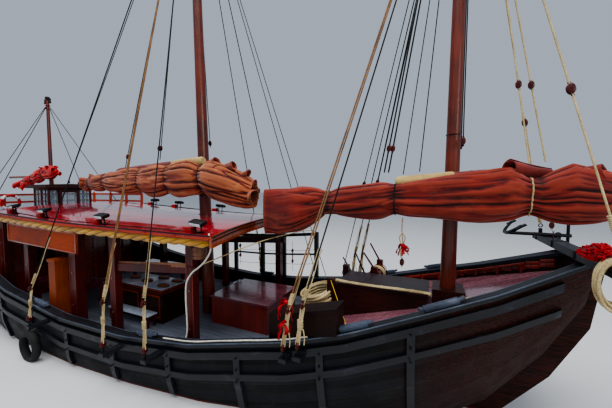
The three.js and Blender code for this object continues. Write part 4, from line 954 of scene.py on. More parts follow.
lamps = {
    "places": [-4.05, -2.6, -0.4, 2.4], "inset": 0.23, "head": (0.34, 0.19, 0.09), "tilt": 16, "stand": 0.19,
    "box": (0.19, 0.13, 0.1), "ribs": 7, "cable": 0.008,
}


def makeLamps(side, name, node):
    mesh, cables = bmesh.new(), []
    length, deep, high = lamps["head"]
    wide, across, tall = lamps["box"]
    for index, x in enumerate(lamps["places"]):
        y = side * (roofHalf(x) - lamps["inset"])
        z = roofTop(x, y)
        centre = Vector((x + 0.2, y + side * 0.03, z + lamps["stand"]))
        tilt = Matrix.Rotation(math.radians(lamps["tilt"] * -side), 4, "X")
        head = Matrix.Translation(centre) @ tilt @ Matrix.Rotation(math.radians(4 * index - 6), 4, "Y")
        cube(mesh, head @ sized((0, 0, 0), lamps["head"]), 0.03)
        cube(mesh, head @ sized((0, side * deep / 2, -0.005), (length * 0.82, 0.012, high * 0.62)), 0.004, 1)
        for rib in range(lamps["ribs"]):  # cooling fins on the back
            spot = (length * (0.12 * rib - 0.36), -side * deep * 0.5, 0)
            cube(mesh, head @ sized(spot, (0.008, 0.03, high * 0.7)))
        for arm in (-0.075, 0.075):  # a yoke on a foot
            bar(mesh, (x + 0.2 + arm, y, z + 0.004), centre + Vector((arm, 0, -0.01)), 0.03, 0.01, 0.002)
        plate(mesh, (x + 0.2, y), (0.11, 0.035), z - 0.012, z + 0.012, 0.003)
        case = (x - 0.04, y)
        plate(mesh, case, (wide / 2, across / 2), z - 0.02, z + tall, 0.012, 2)
        plate(mesh, case, (wide / 2 + 0.01, across / 2 + 0.01), z + tall - 0.03, z + tall - 0.012, 0.004, 2)
        cable = [(x + 0.05, y, z + 0.05), (x + 0.09, y - side * 0.06, z + 0.09),
                 (x + 0.14, y - side * 0.07, z + 0.17), (x + 0.19, y - side * 0.03, z + 0.2)]
        cables.append(smoothPath(cable, 14))
        if index:
            back = lamps["places"][index - 1]
            steps = [back + (x - back) * step / 12 for step in range(13)]
            cables.append([(at, side * (roofHalf(at) - lamps["inset"] + 0.02 * math.sin(at * 4)),
                            roofTop(at, roofHalf(at) - lamps["inset"]) + 0.008) for at in steps])
    addPiece(name, mesh, ["iron", "lampGlass", "redBox"], node=node)
    addRopes(name + "Cables", cables, lamps["cable"], "iron", node=node)


makeLamps(-1, "lampsStarboard", "roof_lamps_starboard")
makeLamps(1, "lampsPort", "roof_lamps_port")
print("canopy dressed")

# Standing and running rigging
rigging = {
    "bands": {"main": 13.3, "fore": 11.3, "mizzen": 7.3},  # the height of each masthead band
    "main": {"feet": [2.06, 0.99, -1.46], "out": 0.38, "bend": 2.62},
    "fore": {"feet": [4.92, 4.68], "out": 0.22, "bend": 2.75},
    "pale": 1,  # the starboard shroud of each mast that is two parts of tan rope
    "shroudRadius": 0.013, "lashingRadius": 0.0095, "lashingTurns": 5, "lashingPitch": 0.017, "deadeye": 0.055,
    "stand": 0.02,  # how far a line's middle stays off its mast
}


def mastRing(mesh, name, z, stand, thick, sides, section, material=0):  # an iron hoop round a mast
    centre, radius = mastAt(name, z)
    ring(mesh, centre, (0, 0, 1), radius + stand, thick, sides, section, material)


def mastSide(name, out):  # a place on the masthead band, on the side that out points to
    head, radius = mastAt(name, rigging["bands"][name])
    return head + Vector(out).normalized() * (radius + rigging["stand"])


def windings(count, turns, middle, wide, deep):  # turns of line round the places that middle gives
    made = []
    for share in (step / (count - 1) for step in range(count)):
        angle = share * math.tau * turns
        made.append(middle(share) + Vector((math.cos(angle) * wide, math.sin(angle) * deep, 0)))
    return made


def splitEyes(mesh, *spots):  # wooden deadeyes with iron rims
    radius = rigging["deadeye"]
    for spot in spots:
        half = Vector((0.022, 0, 0))
        drum(mesh, spot - half, spot + half, radius, sides=18, bevel=0.008)
        ring(mesh, spot, (1, 0, 0), radius + 0.004, 0.007, 18, 6, 1)


def lashingPaths(top, bottom, seed):  # the parts of a lanyard between two deadeyes, its wrapping and its tail
    chance = random.Random(seed)
    along = bottom - top
    turns, spread = rigging["lashingTurns"], rigging["lashingPitch"]
    made = []
    for turn in range(turns):
        side = (turn - (turns - 1) / 2) * spread
        drift = Vector((chance.uniform(-1, 1), chance.uniform(-1, 1), 0)) * 0.006
        flip = Vector((0, 0.008 * (-1) ** turn, 0))
        made.append([top + Vector((side, 0, 0)) + flip, top + along * 0.5 + Vector((side * 0.7, 0, 0)) + drift,
                     bottom + Vector((side, 0, 0)) - flip])
    middle = top + along * chance.uniform(0.42, 0.55)
    wide = spread * turns * 0.42 + 0.01
    wrapped = windings(66, 6, lambda share: middle + lift(0.075 - 0.15 * share), wide, 0.022)
    tail = [wrapped[-1] + Vector(step) for step in (
        (0, 0, 0), (0.03, -0.03, -0.03), (0.045, -0.035, -0.13), (0.035, -0.03, -0.24))]
    return [*made, wrapped, smoothPath(tail, 10)]


def makeShrouds(name, node):
    plan = rigging[name]
    head = mastAt(name, rigging["bands"][name])[0]
    lines = {"darkRope": [], "tanRope": []}
    lanyards = []
    mesh = bmesh.new()
    for side in (-1, 1):
        for index, x in enumerate(plan["feet"]):
            foot = Vector((x, side * (halfBeam(x) + plan["out"]), sheer(x) - 0.11))
            low = foot + lift(0.12)
            bend = plan["bend"] - 0.12 * index
            share = (bend - low.z) / (head.z - low.z)
            eye = low.lerp(Vector((low.x + (head.x - low.x) * share * 0.4, low.y - side * 0.06, bend)), 0.62)
            top = mastSide(name, (x - head.x, side * 2.6, 0))
            splitEyes(mesh, eye, low + lift(0.05))
            bar(mesh, foot, low + lift(0.01), 0.03, 0.012, 0.002, 1)
            lanyards += lashingPaths(eye - lift(0.03), low + lift(0.08), index + 10 * side)
            double = side < 0 and index == rigging["pale"]
            for pair in (-1, 1) if double else (0,):
                shift = Vector((pair * 0.022, 0, 0))
                lines["tanRope" if double else "darkRope"].append(
                    [eye + lift(0.05) + shift * 0.6, eye.lerp(top, 0.03) + shift, top + shift * 0.4])
            for pair in (-1, 1):  # the falls of the lashing run some way up the shroud
                shift = Vector((pair * 0.03, -side * 0.012, 0))
                falls = [eye + shift * 0.5]
                for step in range(5):
                    loose = 1 + 0.35 * wave(step * 1.7, index + pair + 5)
                    falls.append(eye.lerp(top, 0.02 + 0.02 * step) + shift * loose)
                lanyards.append(smoothPath(falls, 22))
            lanyards.append(windings(  # they are seized together above the deadeye
                80, 9, lambda along: eye.lerp(top, 0.006 + 0.02 * along) + lift(0.03), 0.031, 0.019))
    for rise in (-0.075, 0, 0.075):
        mastRing(mesh, name, rigging["bands"][name] + rise, 0.014, 0.018, 32, 8, 1)
    addPiece(name + "Deadeyes", mesh, ["darkPost", "iron"], node=node)
    for tone, paths in lines.items():
        if paths:
            addRopes(f"{name}Shrouds{titled(tone)}", paths, rigging["shroudRadius"], tone, node=node)
    addRopes(name + "Lanyards", lanyards, rigging["lashingRadius"], "creamRope", node=node)


makeShrouds("main", "main_rigging")
makeShrouds("fore", "fore_rigging")


def pulley(mesh, spot, along, size=0.06):  # a wooden block with its shell, sheave, pin and eyes
    spot, along = Vector(spot), Vector(along).normalized()
    place = Matrix.Translation(spot) @ aim(along, (0, 1, 0))
    for side in (-1, 1):
        shell = place @ sized((0, side * size * 0.34, 0), (size * 0.72, size * 0.16, size * 1.15))
        bmesh.ops.create_icosphere(mesh, subdivisions=2, radius=1, matrix=shell)
    across = place.to_3x3() @ Vector((0, 1, 0))
    for half, radius, sides in ((0.3, 0.5, 14), (0.55, 0.13, 8)):
        reach = across * size * half
        drum(mesh, spot - reach, spot + reach, size * radius, sides=sides, material=1)
    for end in (-1, 1):
        ring(mesh, spot + along * size * 1.3 * end, across, size * 0.24, size * 0.07, 14, 6, 1)


# Taut runs: name, finish, radius, body, the top and foot of each part, and how far down a block sits
runs = [
    ("mainHoist", "darkRope", 0.01, "hull_body", [((0.66, 0.1, 13.1), (1.02, 0.24, 5.35))], 0.985),
    ("mainPortRuns", "darkRope", 0.011, "hull_body",
     [((0.8, 0.12, 13.2), (3.52, 2.12, 1.42)), ((0.8, 0.12, 13.1), (3.86, 2.06, 1.5))], 0.83),
    ("foreSternRuns", "darkRope", 0.011, "hull_body",
     [((7.1, 0.1, 11.2), (4.4, 1.99, 1.62)), ((7.1, 0.1, 11.1), (4.9, 1.92, 1.73))], 0.72),
    ("yellowLine", "yellowRope", 0.008, "hull_body", [((4.95, -0.6, 2.3), (5.62, -1.7, 1.92))], None),
    ("foreHoist", "darkRope", 0.01, "hull_body",
     [((7.36, -0.1, 11.1), (7.33, -0.24, 4.95)), ((7.36, 0.1, 11.1), (7.33, 0.2, 4.95))], 0.985),
    ("foreLifts", "darkRope", 0.016, "fore_sail_set",
     [((7.1, -0.15, 11.1), (5.98, -0.42, 4.5)), ((7.12, -0.12, 11.1), (6.05, -0.36, 4.5))], 0.93),
    ("foreLiftsThin", "darkRope", 0.009, "fore_sail_set",
     [((7.14, -0.12, 11.0), (6.33, -0.4, 4.46)), ((7.16, -0.12, 11.0), (6.62, -0.44, 4.5))], None),
    ("foreLiftAhead", "creamRope", 0.014, "fore_sail_set",
     [((7.4, -0.12, 11.0), (8.26, -0.46, 4.6)), ((7.4, -0.1, 10.9), (8.5, -0.34, 4.62))], 0.8),
    ("mainLifts", "darkRope", 0.011, "main_sail_set",
     [((0.72, -0.14, 12.9), (-1.72, -0.42, 4.82)), ((0.72, -0.12, 12.8), (-0.27, -0.44, 5.0)),
      ((0.7, -0.12, 12.9), (-0.24, -0.4, 5.0))], 0.96),
]


def makeRuns():
    blockMeshes = {}
    for name, tone, radius, body, ends, share in runs:
        held = body == "hull_body"
        paths = [[Vector(a).lerp(Vector(b), step / 12) for step in range(13)] for a, b in ends]
        piece = addRopes(name, paths, radius, tone, body if held else None)
        if not held:  # it is left on no body, with its shape baked in place
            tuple(ends[0][0])
            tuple(ends[0][1])
            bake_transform(piece)
        if share:
            mesh = blockMeshes[body] = blockMeshes.get(body) or bmesh.new()
            for a, b in ends:
                pulley(mesh, Vector(a).lerp(Vector(b), share), Vector(b) - Vector(a))
    for body, mesh in blockMeshes.items():
        addPiece("rigBlocks" + body.title().replace("_", ""), mesh, ["darkPost", "iron"], body, 40)


makeRuns()


def stayFoot(mesh, foot, half, size, thick, sides, section, material):  # an upright block with an eye over it
    plate(mesh, foot, (half, half), foot.z, foot.z + 0.1, 0.006, material)
    ring(mesh, foot + lift(size[0]), (0, 1, 0), size[1], thick, sides, section, 1)
    return foot + lift(size[0])


def makeBowStays():
    paths, mesh = [], bmesh.new()
    for side in (-1, 1):
        eye = stayFoot(mesh, Vector((8.965, side * 1.48, 3.24)), 0.03, (0.16, 0.034), 0.01, 18, 8, 1)
        top = mastSide("fore", (1.7, side * 1.48, 0))
        paths.append([eye.lerp(top, 0.012), eye.lerp(top, 0.5), top])
        paths.append(windings(120, 16, lambda share: eye.lerp(top, 0.008 + 0.05 * share), 0.024, 0.024))
        pulley(mesh, eye.lerp(top, 0.27), top - eye, 0.07)
    addRopes("bowStays", paths, 0.014, "creamRope", sides=8, node="fore_rigging")
    addPiece("bowStayFittings", mesh, ["darkPost", "iron"], smooth=40, node="fore_rigging")


makeBowStays()


def makeAfterStays():  # the backstay to the wheelhouse and the mizzen's stays
    foot, top = Vector((-5.6, 0, 4.42)), mastSide("main", (-1, 0, 0))
    mesh = bmesh.new()
    drum(mesh, foot - lift(0.05), foot + lift(0.05), 0.03, 0.022, 14, 0.006, 1)
    ring(mesh, foot + lift(0.07), (0, 1, 0), 0.03, 0.008, 16, 8, 1)
    backstay = [foot + Vector((0.02, 0, 0.1)), foot.lerp(top, 0.5), top]
    addRopes("mainBackstay", [backstay], 0.012, "darkRope", node="main_rigging")
    addPiece("backstayFoot", mesh, ["darkPost", "iron"], smooth=40, node="main_rigging")
    paths, mesh = [], bmesh.new()
    for x in (-7.8, -5.9):
        for side in (-1, 1):
            foot = Vector((x, side * (halfBeam(x) - 0.23), 3.0))
            eye = stayFoot(mesh, foot, 0.028, (0.13, 0.026), 0.007, 16, 6, 0)
            top = mastSide("mizzen", (x - masts["mizzen"][0], side * 2, 0))
            paths.append([eye.lerp(top, 0.01), eye.lerp(top, 0.5), top])
    for rise in (-0.06, 0.06):
        mastRing(mesh, "mizzen", rigging["bands"]["mizzen"] + rise, 0.014, 0.016, 24, 8, 1)
    addRopes("mizzenStays", paths, 0.011, "darkRope", node="mizzen_rigging")
    addPiece("mizzenStayFittings", mesh, ["darkPost", "iron"], smooth=40, node="mizzen_rigging")


makeAfterStays()


def makeMastheads():  # iron caps and hoops, and the mizzen's black fitting
    mesh = bmesh.new()
    for name in masts:
        top = masts[name][2]
        spot, radius = mastAt(name, top)
        drum(mesh, spot - lift(0.1), spot - lift(0.004), radius + 0.012, radius + 0.006, 24, 0.004)
        for drop in (0.5, 1.1) if name != "mizzen" else ():
            mastRing(mesh, name, top - drop, 0.006, 0.012, 26, 8)
    addPiece("mastCaps", mesh, "iron", smooth=40)
    mesh = bmesh.new()
    drum(mesh, (-6.8, 0, 7.62), (-6.8, 0, 7.695), 0.085, 0.07, 20, 0.012)
    box(mesh, (-6.98, -0.035, 7.56), (-6.62, 0.035, 7.62), 0.01)
    for x in (-6.96, -6.64):
        drum(mesh, (x, 0, 7.44), (x, 0, 7.56), 0.045, 0.03, 16, 0.01)
    addPiece("mizzenFitting", mesh, "iron", smooth=40)


makeMastheads()
print("rigging set up")

# Under the canopy: the counter, benches, and what hangs at the roof's fore corner
inside = {
    "counterTop": ((-1.15, -1.16, 1.602), (0.64, -0.32, 1.614)),
    "mouldings": [(1.57, 0.012, 0.03), (1.50, 0.006, 0.02)],  # height, how far it stands out, how tall it is
    "panels": [(-1.02, -0.32), (-0.22, 0.5)],  # from x to x
    "panelFaces": [(-1.11, -1), (-0.37, 1)],  # y, the way it looks
    "panelHeights": (0.82, 1.42),
    "panelFrame": (0.05, 0.012),  # width, how far it stands out
    "ovals": [(-1.0, -0.72), (-0.38, -0.8), (0.4, -0.92), (-0.18, -0.42), (0.42, -0.48)],
    "ovalSize": (0.19, 0.12),
    "benches": [((-1.05, -1.48, 1.0), (0.5, -1.2, 1.04)), ((1.0, 1.0, 1.12), (1.6, 1.5, 1.16))],
    "deckTop": 0.705,
    "bucket": (2.58, -1.82, 2.93), "staves": 14,
}


def makeCounter():
    mesh = bmesh.new()
    low, high = inside["counterTop"]
    box(mesh, low, high, 0.003)
    wide, deep = inside["ovalSize"]
    for centre in inside["ovals"]:
        oval(mesh, centre, (wide, deep), 1.613, 1.635, 1)
        oval(mesh, centre, (wide * 0.9, deep * 0.86), 1.634, 1.655, 2, 0.005)
    addPiece("counterTop", mesh, ["blueTop", "darkTimber", "ovalWood"])
    mesh = bmesh.new()
    for z, out, tall in inside["mouldings"]:  # round the slab and under it
        for end, before, after in ((low, out, 0), (high, 0, out)):
            box(mesh, (low[0] - 0.01, end[1] - before - 0.004, z - tall / 2),
                (high[0] + 0.01, end[1] + after + 0.004, z + tall / 2), 0.005)
            box(mesh, (end[0] - before - 0.004, low[1], z - tall / 2),
                (end[0] + after + 0.004, high[1], z + tall / 2), 0.005)
    for x0, x1 in inside["panels"]:
        for y, side in inside["panelFaces"]:
            panelFrame(mesh, x0, x1, y, side)
    addPiece("counterPanels", mesh, "board")
    mesh = bmesh.new()
    for low, high in inside["benches"]:
        box(mesh, low, high, 0.008)
        for x in (low[0] + 0.06, high[0] - 0.06):
            for y in (low[1] + 0.05, high[1] - 0.05):
                plate(mesh, (x, y), (0.025, 0.025), inside["deckTop"], low[2], 0.004, 1)
    addPiece("deckBenches", mesh, ["blueTop", "darkPost"])


def panelFrame(mesh, x0, x1, y, side):  # a raised frame on a face that looks along y
    width, proud = inside["panelFrame"]
    z0, z1 = inside["panelHeights"]
    y0, y1 = sorted((y, y + side * proud))
    for a, b in (((x0, z0), (x1, z0 + width)), ((x0, z1 - width), (x1, z1)),
                 ((x0, z0 + width), (x0 + width, z1 - width)), ((x1 - width, z0 + width), (x1, z1 - width))):
        box(mesh, (a[0], y0, a[1]), (b[0], y1, b[1]), 0.004)


makeCounter()


def makeBucket():  # a slatted wooden bucket hung under the roof's corner
    x, y, z = inside["bucket"]
    mesh = bmesh.new()
    for stave in range(inside["staves"]):
        turn = Matrix.Rotation(stave / inside["staves"] * math.tau, 4, "Z")
        cube(mesh, Matrix.Translation((x, y, z)) @ turn @ sized((0.125, 0, 0), (0.018, 0.057, 0.3)), 0.004)
    for low in (-0.14, 0.12):
        drum(mesh, (x, y, z + low), (x, y, z + low + 0.02), 0.118, sides=24)
    for rise in (-0.09, 0.0, 0.09):
        ring(mesh, (x, y, z + rise), (0, 0, 1), 0.137, 0.008, 28, 6, 1)
    ring(mesh, (x, y, z + 0.17), (0, 1, 0), 0.035, 0.006, 16, 6, 1)
    addPiece("hungBucket", mesh, ["boardWorn", "iron"])
    addRopes("bucketCord", [[(x, y, z + 0.2), (x, y, z + 0.245)]], 0.008, "creamRope")


makeBucket()

tanLine = [(2.70, -1.9, 2.68), (3.3, -0.9, 2.98), (3.42, 0.3, 3.0), (3.48, 1.5, 2.95), (3.52, 2.02, 2.86)]
addRopes("tanLine", [smoothPath(tanLine, 44)], 0.012, "creamRope")  # from the bucket to the port side

eaves = {
    "rafters": 17, "first": -4.65, "gap": 0.47, "inset": 0.16, "drop": 0.12, "long": 0.35,
    "rail": ((0.08, 1.925, 2.437), (2.36, 1.86, 2.617)),  # the side rail's worn edge
}


def makeRoofEdge():  # rafter ends under the eaves, and the pale worn edge of the side rail
    mesh = bmesh.new()
    for side in (-1, 1):
        for step in range(eaves["rafters"]):
            x = eaves["first"] + step * eaves["gap"]
            y = side * (roofHalf(x) - eaves["inset"] - eaves["long"] / 2)
            z = roofEdge(x) - eaves["drop"]
            plate(mesh, (x, y), (0.03, eaves["long"] / 2), z - 0.03, z + 0.025, 0.005)
    addPiece("rafterEnds", mesh, "darkTimber")
    mesh = bmesh.new()
    for side in (-1, 1):  # with its end block and straps
        a, b = (Vector((x, side * y, z)) for x, y, z in eaves["rail"])
        bar(mesh, a, b, 0.012, 0.094, 0.004)
        end = b + Vector((0.06, 0, -0.09))
        plate(mesh, end, (0.12, 0.055), end.z - 0.07, end.z + 0.085, 0.01, 1)
        for offset in (-0.07, 0.07):
            plate(mesh, end + Vector((offset, 0, 0)), (0.012, 0.06), end.z - 0.075, end.z + 0.09, 0.003, 2)
    addPiece("sideRailEdges", mesh, ["boardWorn", "darkPost", "iron"])


makeRoofEdge()

posts = {
    "places": [(-4.69, 0.2), (-3.3, 0.2), (-1.25, 0.24), (0.08, 0.17), (2.36, 0.17)],  # x, width
    "foot": (0.702, 0.86), "drop": 0.21, "proud": 0.012, "bolts": (1.3, 2.1, 2.6), "boltRadius": 0.017,
}


def makePostDetails():  # bases, heads, red edge strips and bolts on the canopy posts
    mesh = bmesh.new()
    for side in (-1, 1):
        for x, width in posts["places"]:
            y = side * min(halfBeam(x) - 0.43, roofHalf(x) - 0.27)
            half = width / 2 + posts["proud"]
            high = roofEdge(x) - posts["drop"]
            plate(mesh, (x, y), (half, half), *posts["foot"], 0.012)
            plate(mesh, (x, y), (half, half), high - 0.06, high, 0.01)
            for z in posts["bolts"]:
                for face in (-half, half):
                    tip = face + math.copysign(0.008, face)
                    drum(mesh, (x, y + face, z), (x, y + tip, z), posts["boltRadius"], sides=10, material=1)
            for strip in (-1, 1):
                box(mesh, (x + strip * width / 2 - 0.008, y - width / 2 - 0.006, 0.9),
                    (x + strip * width / 2 + 0.008, y - width / 2 + 0.012, high - 0.08), 0.004, 2)
    addPiece("postDetails", mesh, ["darkPost", "steel", "redCross"])


makePostDetails()
print("canopy furnished")


# Ropes that lie loose or coiled, each one long line
deckCoil = {
    "centre": (4.66, -0.42, 1.78), "radius": 0.30, "rope": 0.03, "columns": 2, "levels": 4, "seed": 2,
    "tilt": (14, -16), "stretch": 1.05, "steps": 30, "across": 2.25, "up": 2.15,
}


def coilPath(plan):  # turns a little more than a diameter apart, one layer over the other
    rope, columns, steps, seed = (plan[key] for key in ("rope", "columns", "steps", "seed"))
    order = []
    for level in range(plan["levels"]):
        across = range(columns) if level % 2 == 0 else range(columns - 1, -1, -1)
        order += [(column, level) for column in across]
    turnX, turnY = (Matrix.Rotation(math.radians(tilt), 3, axis) for tilt, axis in zip(plan["tilt"], "XY"))
    made = []
    for (column, level), after in zip(order, order[1:] + order[-1:]):
        for step in range(steps):
            share = max(0.0, step / steps - 0.7) / 0.3  # it steps over to the next lane near the turn's end
            share = share * share * (3 - 2 * share)
            lane = column + (after[0] - column) * share - (columns - 1) / 2
            row = level + (after[1] - level) * share
            angle = step / steps * math.tau
            shake = 1 + 0.07 * math.sin(angle * 2 + seed) + 0.04 * math.sin(angle * 3 + 2 * seed)
            far = (plan["radius"] + lane * rope * plan["across"]) * shake
            spot = Vector((math.cos(angle) * far * plan["stretch"], math.sin(angle) * far,
                           rope + row * rope * plan["up"]))
            made.append(Vector(plan["centre"]) + turnX @ turnY @ spot)
    return made


def fine(points, step=0.02):  # a smooth path with points about a step apart
    rough = smoothPath(points, len(points) * 12)
    length = sum((b - a).length for a, b in zip(rough, rough[1:]))
    return smoothPath(points, max(8, int(length / step)))


def addCord(name, path, radius, finish, body="hull_body"):
    path = [Vector(point) for point in path]
    last = len(path) - 1
    run = [0.0]
    for a, b in zip(path, path[1:]):
        run.append(run[-1] + (b - a).length)
    sides = []
    for at in range(last + 1):  # carries one sideways direction along without twisting
        turn = aim(path[min(at + 1, last)] - path[max(at - 1, 0)]).to_3x3()
        along = turn @ lift(1)
        across = sides[-1][0] if sides else turn @ Vector((1, 0, 0))
        across = (across - along * across.dot(along)).normalized()
        sides.append((across, along.cross(across)))

    def place(u, v):
        at = min(int(round(v * last)), last)
        angle = u * math.tau
        strand = abs(math.cos(1.5 * angle - run[at] / (radius * 7) * math.pi))
        far = radius * (0.8 + 0.2 * strand ** 0.6)
        return path[at] + (sides[at][0] * math.cos(angle) + sides[at][1] * math.sin(angle)) * far
    mesh = bmesh.new()
    surface(mesh, 12, last, place, closed=True, capped=True)
    piece = addPiece(name, mesh, finish, body, 80)
    tuple(path[0])
    [tuple(point) for point in path]


hatchRope = [(4.99, -0.36, 2.222), (5.3, -0.4, 2.216), (5.8, -0.42, 2.216), (6.3, -0.4, 2.216),
             (6.72, -0.41, 2.216), (6.86, -0.43, 2.21)]
mastRope = [(7.02, -0.52, 2.072), (7.2, -0.5, 2.14), (7.42, -0.46, 2.216), (7.62, -0.5, 2.286)]
capRope = [(x, -(halfBeam(x) - 0.012 + 0.02 * wave(x * 2.2, 8)), sheer(x) + 0.098)
           for x in (2.05 + 0.26 * step for step in range(14))]
whiteLine = [(2.98, -1.98, 3.33), (3.05, -2.02, 3.2), (3.03, -2.0, 3.0), (2.85, -1.96, 2.78),
             (2.66, -1.95, 2.62), (2.48, -1.93, 2.5), (2.36, -1.96, 2.3), (2.33, -1.965, 2.0),
             (2.34, -1.96, 1.6), (2.35, -1.965, 1.3), (2.33, -2.0, 1.1)]
addCord("deckCoil", coilPath(deckCoil), deckCoil["rope"], "creamRope")
addCord("hatchRope", fine(hatchRope), 0.04, "creamRope", "fore_hatch_lid_body")
addCord("mastRope", fine(mastRope), 0.04, "creamRope")
addCord("capRope", fine(capRope), 0.016, "whiteCord")
addCord("whiteLine", smoothPath(whiteLine, 60), 0.017, "whiteCord")

hungCoil = {
    "start": -1.53, "middle": (8.965, 3.008), "wide": 0.19, "tall": 0.3, "turns": 5, "pitch": 0.046,
    "rope": 0.02, "steps": 36,
}


def makeHungCoil():  # a coil hung over the starboard end of the bow beam
    (x, z), wide, tall, steps = (hungCoil[key] for key in ("middle", "wide", "tall", "steps"))
    path = []
    for turn in (step / steps for step in range(hungCoil["turns"] * steps + 1)):
        angle = turn * math.tau - 0.55
        loose = 1 + 0.13 * math.sin(turn * 2.3) * (1 - math.cos(angle)) / 2
        path.append((x + math.sin(angle) * wide * loose, hungCoil["start"] + hungCoil["pitch"] * turn,
                     z + math.cos(angle) * tall * loose))
    addCord("beamCoil", path, hungCoil["rope"], "creamRope")


makeHungCoil()

# Red rags knotted on the shroud's lashing, and on the hanging tackle under the fore sail
ribbons = {
    "knots": [((4.72, -2.13, 2.35), 9, 0.24), ((4.7, -2.14, 2.02), 6, 0.2), ((6.34, -0.45, 3.1), 8, 0.2)],
    "knot": (0.038, 0.034, 0.03), "thick": 0.003,
}


def makeRibbons():
    chance = random.Random(8)
    mesh = bmesh.new()
    for spot, count, size in ribbons["knots"]:
        for strip in range(count):
            outward = around(chance.uniform(0, math.tau))
            length = size * chance.uniform(0.6, 1.3)
            wide = chance.uniform(0.014, 0.03)
            start = Vector(spot) + lift(chance.uniform(-0.05, 0.05))
            bend = chance.uniform(0, 6)

            def place(u, v):
                out = 0.02 + 0.09 * math.sin(min(v, 0.5) * math.pi) + 0.02 * math.sin(v * 7 + bend)
                out += 0.006 * math.sin(u * 6 + v * 9)
                side = outward.cross(lift(1)) * wide * (1 + 0.3 * math.sin(v * 5 + bend)) * (u * 2 - 1)
                return start + outward * out - lift(length * v ** 1.3) + side
            surface(mesh, 4, 14, place)
        bmesh.ops.create_icosphere(mesh, subdivisions=2, radius=1, matrix=sized(spot, ribbons["knot"]))
    thicken(addPiece("redRags", mesh, "redTape", smooth=80), ribbons["thick"])


makeRibbons()


def makeTackle():  # the rope and block that hang under the fore sail
    x, y = 6.34, -0.45
    paths = [smoothPath([(x, -0.44, 3.63), (6.33, y, 3.4), (6.35, -0.44, 3.15)], 12)]
    for side in (-1, 1):
        loop = [(x, y, 3.34), (x + side * 0.05, y, 3.26), (x + side * 0.03, -0.46, 3.16), (x, y, 3.08),
                (x + side * 0.02, y, 2.94)]
        paths.append(smoothPath(loop, 16))
    paths.append(smoothPath([(x, y, 3.1), (6.3, -0.43, 2.98), (6.33, y, 2.86)], 10))
    addRopes("foreTackle", paths, 0.011, "creamRope", "fore_sail_set")
    mesh = bmesh.new()
    pulley(mesh, (x, y, 2.78), (0, 0, 1))
    pulley(mesh, (8.9, 0.62, 3.5), (0, 0, 1), 0.055)
    for link in range(6):
        ring(mesh, (8.93, 0.62, 3.38 - link * 0.026), (link % 2, 1 - link % 2, 0), 0.015, 0.0045, 10, 5, 1)
    addPiece("foreTackleBlock", mesh, ["darkPost", "iron"], "fore_sail_set", 40)


makeTackle()
print("ropes laid")

# Wheelhouse: posts, rails, panels and large panes take the place of the plain walls
house = {
    "low": (-6.5, -0.7), "high": (-5.5, 0.7), "floor": 3.002, "sill": 3.48, "head": 4.13, "top": 4.246,
    "inset": 0.035, "pane": 0.003, "panel": 0.012, "frontSpans": [(0.05, 0.31), (0.95, 1.35)],
    "frontPosts": (0.32, 0.94), "doorRail": 3.5, "knob": 3.56,
}


def makeWheelhouse():
    (x0, y0), (x1, y1) = house["low"], house["high"]
    floor, sill, head, top = (house[key] for key in ("floor", "sill", "head", "top"))
    panes, trim, panels = bmesh.new(), bmesh.new(), bmesh.new()

    def upright(spot, low, high, width, bevel):
        bar(trim, spot + lift(low), spot + lift(high), width, width, bevel)

    corners = [Vector((x, y, 0)) for x, y in ((x0, y0), (x1, y0), (x1, y1), (x0, y1))]
    for first, second in zip(corners, corners[1:] + corners[:1]):
        length = (second - first).length
        along = (second - first) / length
        inner = first + Vector((-along.y, along.x, 0)) * house["inset"]
        front = along.y > 0.5
        halves = [(0.05, length / 2 - 0.03), (length / 2 + 0.03, length - 0.05)]
        for start, stop in house["frontSpans"] if front else halves:
            a, b = inner + along * start, inner + along * stop
            low = Vector((min(a.x, b.x), min(a.y, b.y), 0))
            high = Vector((max(a.x, b.x), max(a.y, b.y), 0))
            thin, thick = (Vector((half, half, 0)) for half in (house["pane"], house["panel"]))
            box(panes, low - thin + lift(sill), high + thin + lift(head), 0)
            tone = (0 if start < 0.2 else 1) if front else (2 if along.x > 0.5 and start > 0.3 else 1)
            box(panels, low - thick + lift(floor), high + thick + lift(sill), 0.002, tone)
            for z, tall in ((floor + 0.03, 0.06), (sill, 0.05), (head, 0.04)):
                bar(trim, a + lift(z), b + lift(z), 0.036, tall, 0.005)
            for share in (0, 1) if front else (0, 0.5, 1):
                upright(a.lerp(b, share), sill - 0.02, head, 0.03, 0.005)
        for place in house["frontPosts"] if front else (length / 2,):
            upright(inner + along * place, floor, top, 0.06, 0.008)
        upright(inner + along * 0.032, floor, top, 0.062, 0.008)
        bar(trim, inner + along * 0.03 + lift(top - 0.06), inner + along * (length - 0.03) + lift(top - 0.06),
            0.05, 0.12, 0.008)
    addPiece("housePanes", panes, "paneGlass", node="wheelhouse_walls")
    addPiece("houseFrame", trim, "darkPost", node="wheelhouse_walls")
    addPiece("housePanels", panels, ["yellowPanel", "varnishCross", "redBoards"], node="wheelhouse_walls")


def makeHouseRoof():
    mesh = bmesh.new()
    low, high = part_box("wheelhouse_roof")
    z = high.z - 0.13
    for y in (low.y, high.y):
        bar(mesh, (low.x - 0.01, y, z), (high.x + 0.01, y, z), 0.03, 0.06, 0.008)
    for x in (low.x, high.x):
        bar(mesh, (x, low.y, z), (x, high.y, z), 0.03, 0.06, 0.008)
    drum(mesh, (-5.75, 0.42, 4.32), (-5.75, 0.42, 4.42), 0.05, 0.06, 20, 0.008, 1)  # a small lamp
    drum(mesh, (-5.75, 0.42, 4.42), (-5.75, 0.42, 4.47), 0.045, 0.02, 20, 0.006, 2)
    addPiece("houseRoofTrim", mesh, ["darkTimber", "iron", "redBox"], smooth=40)


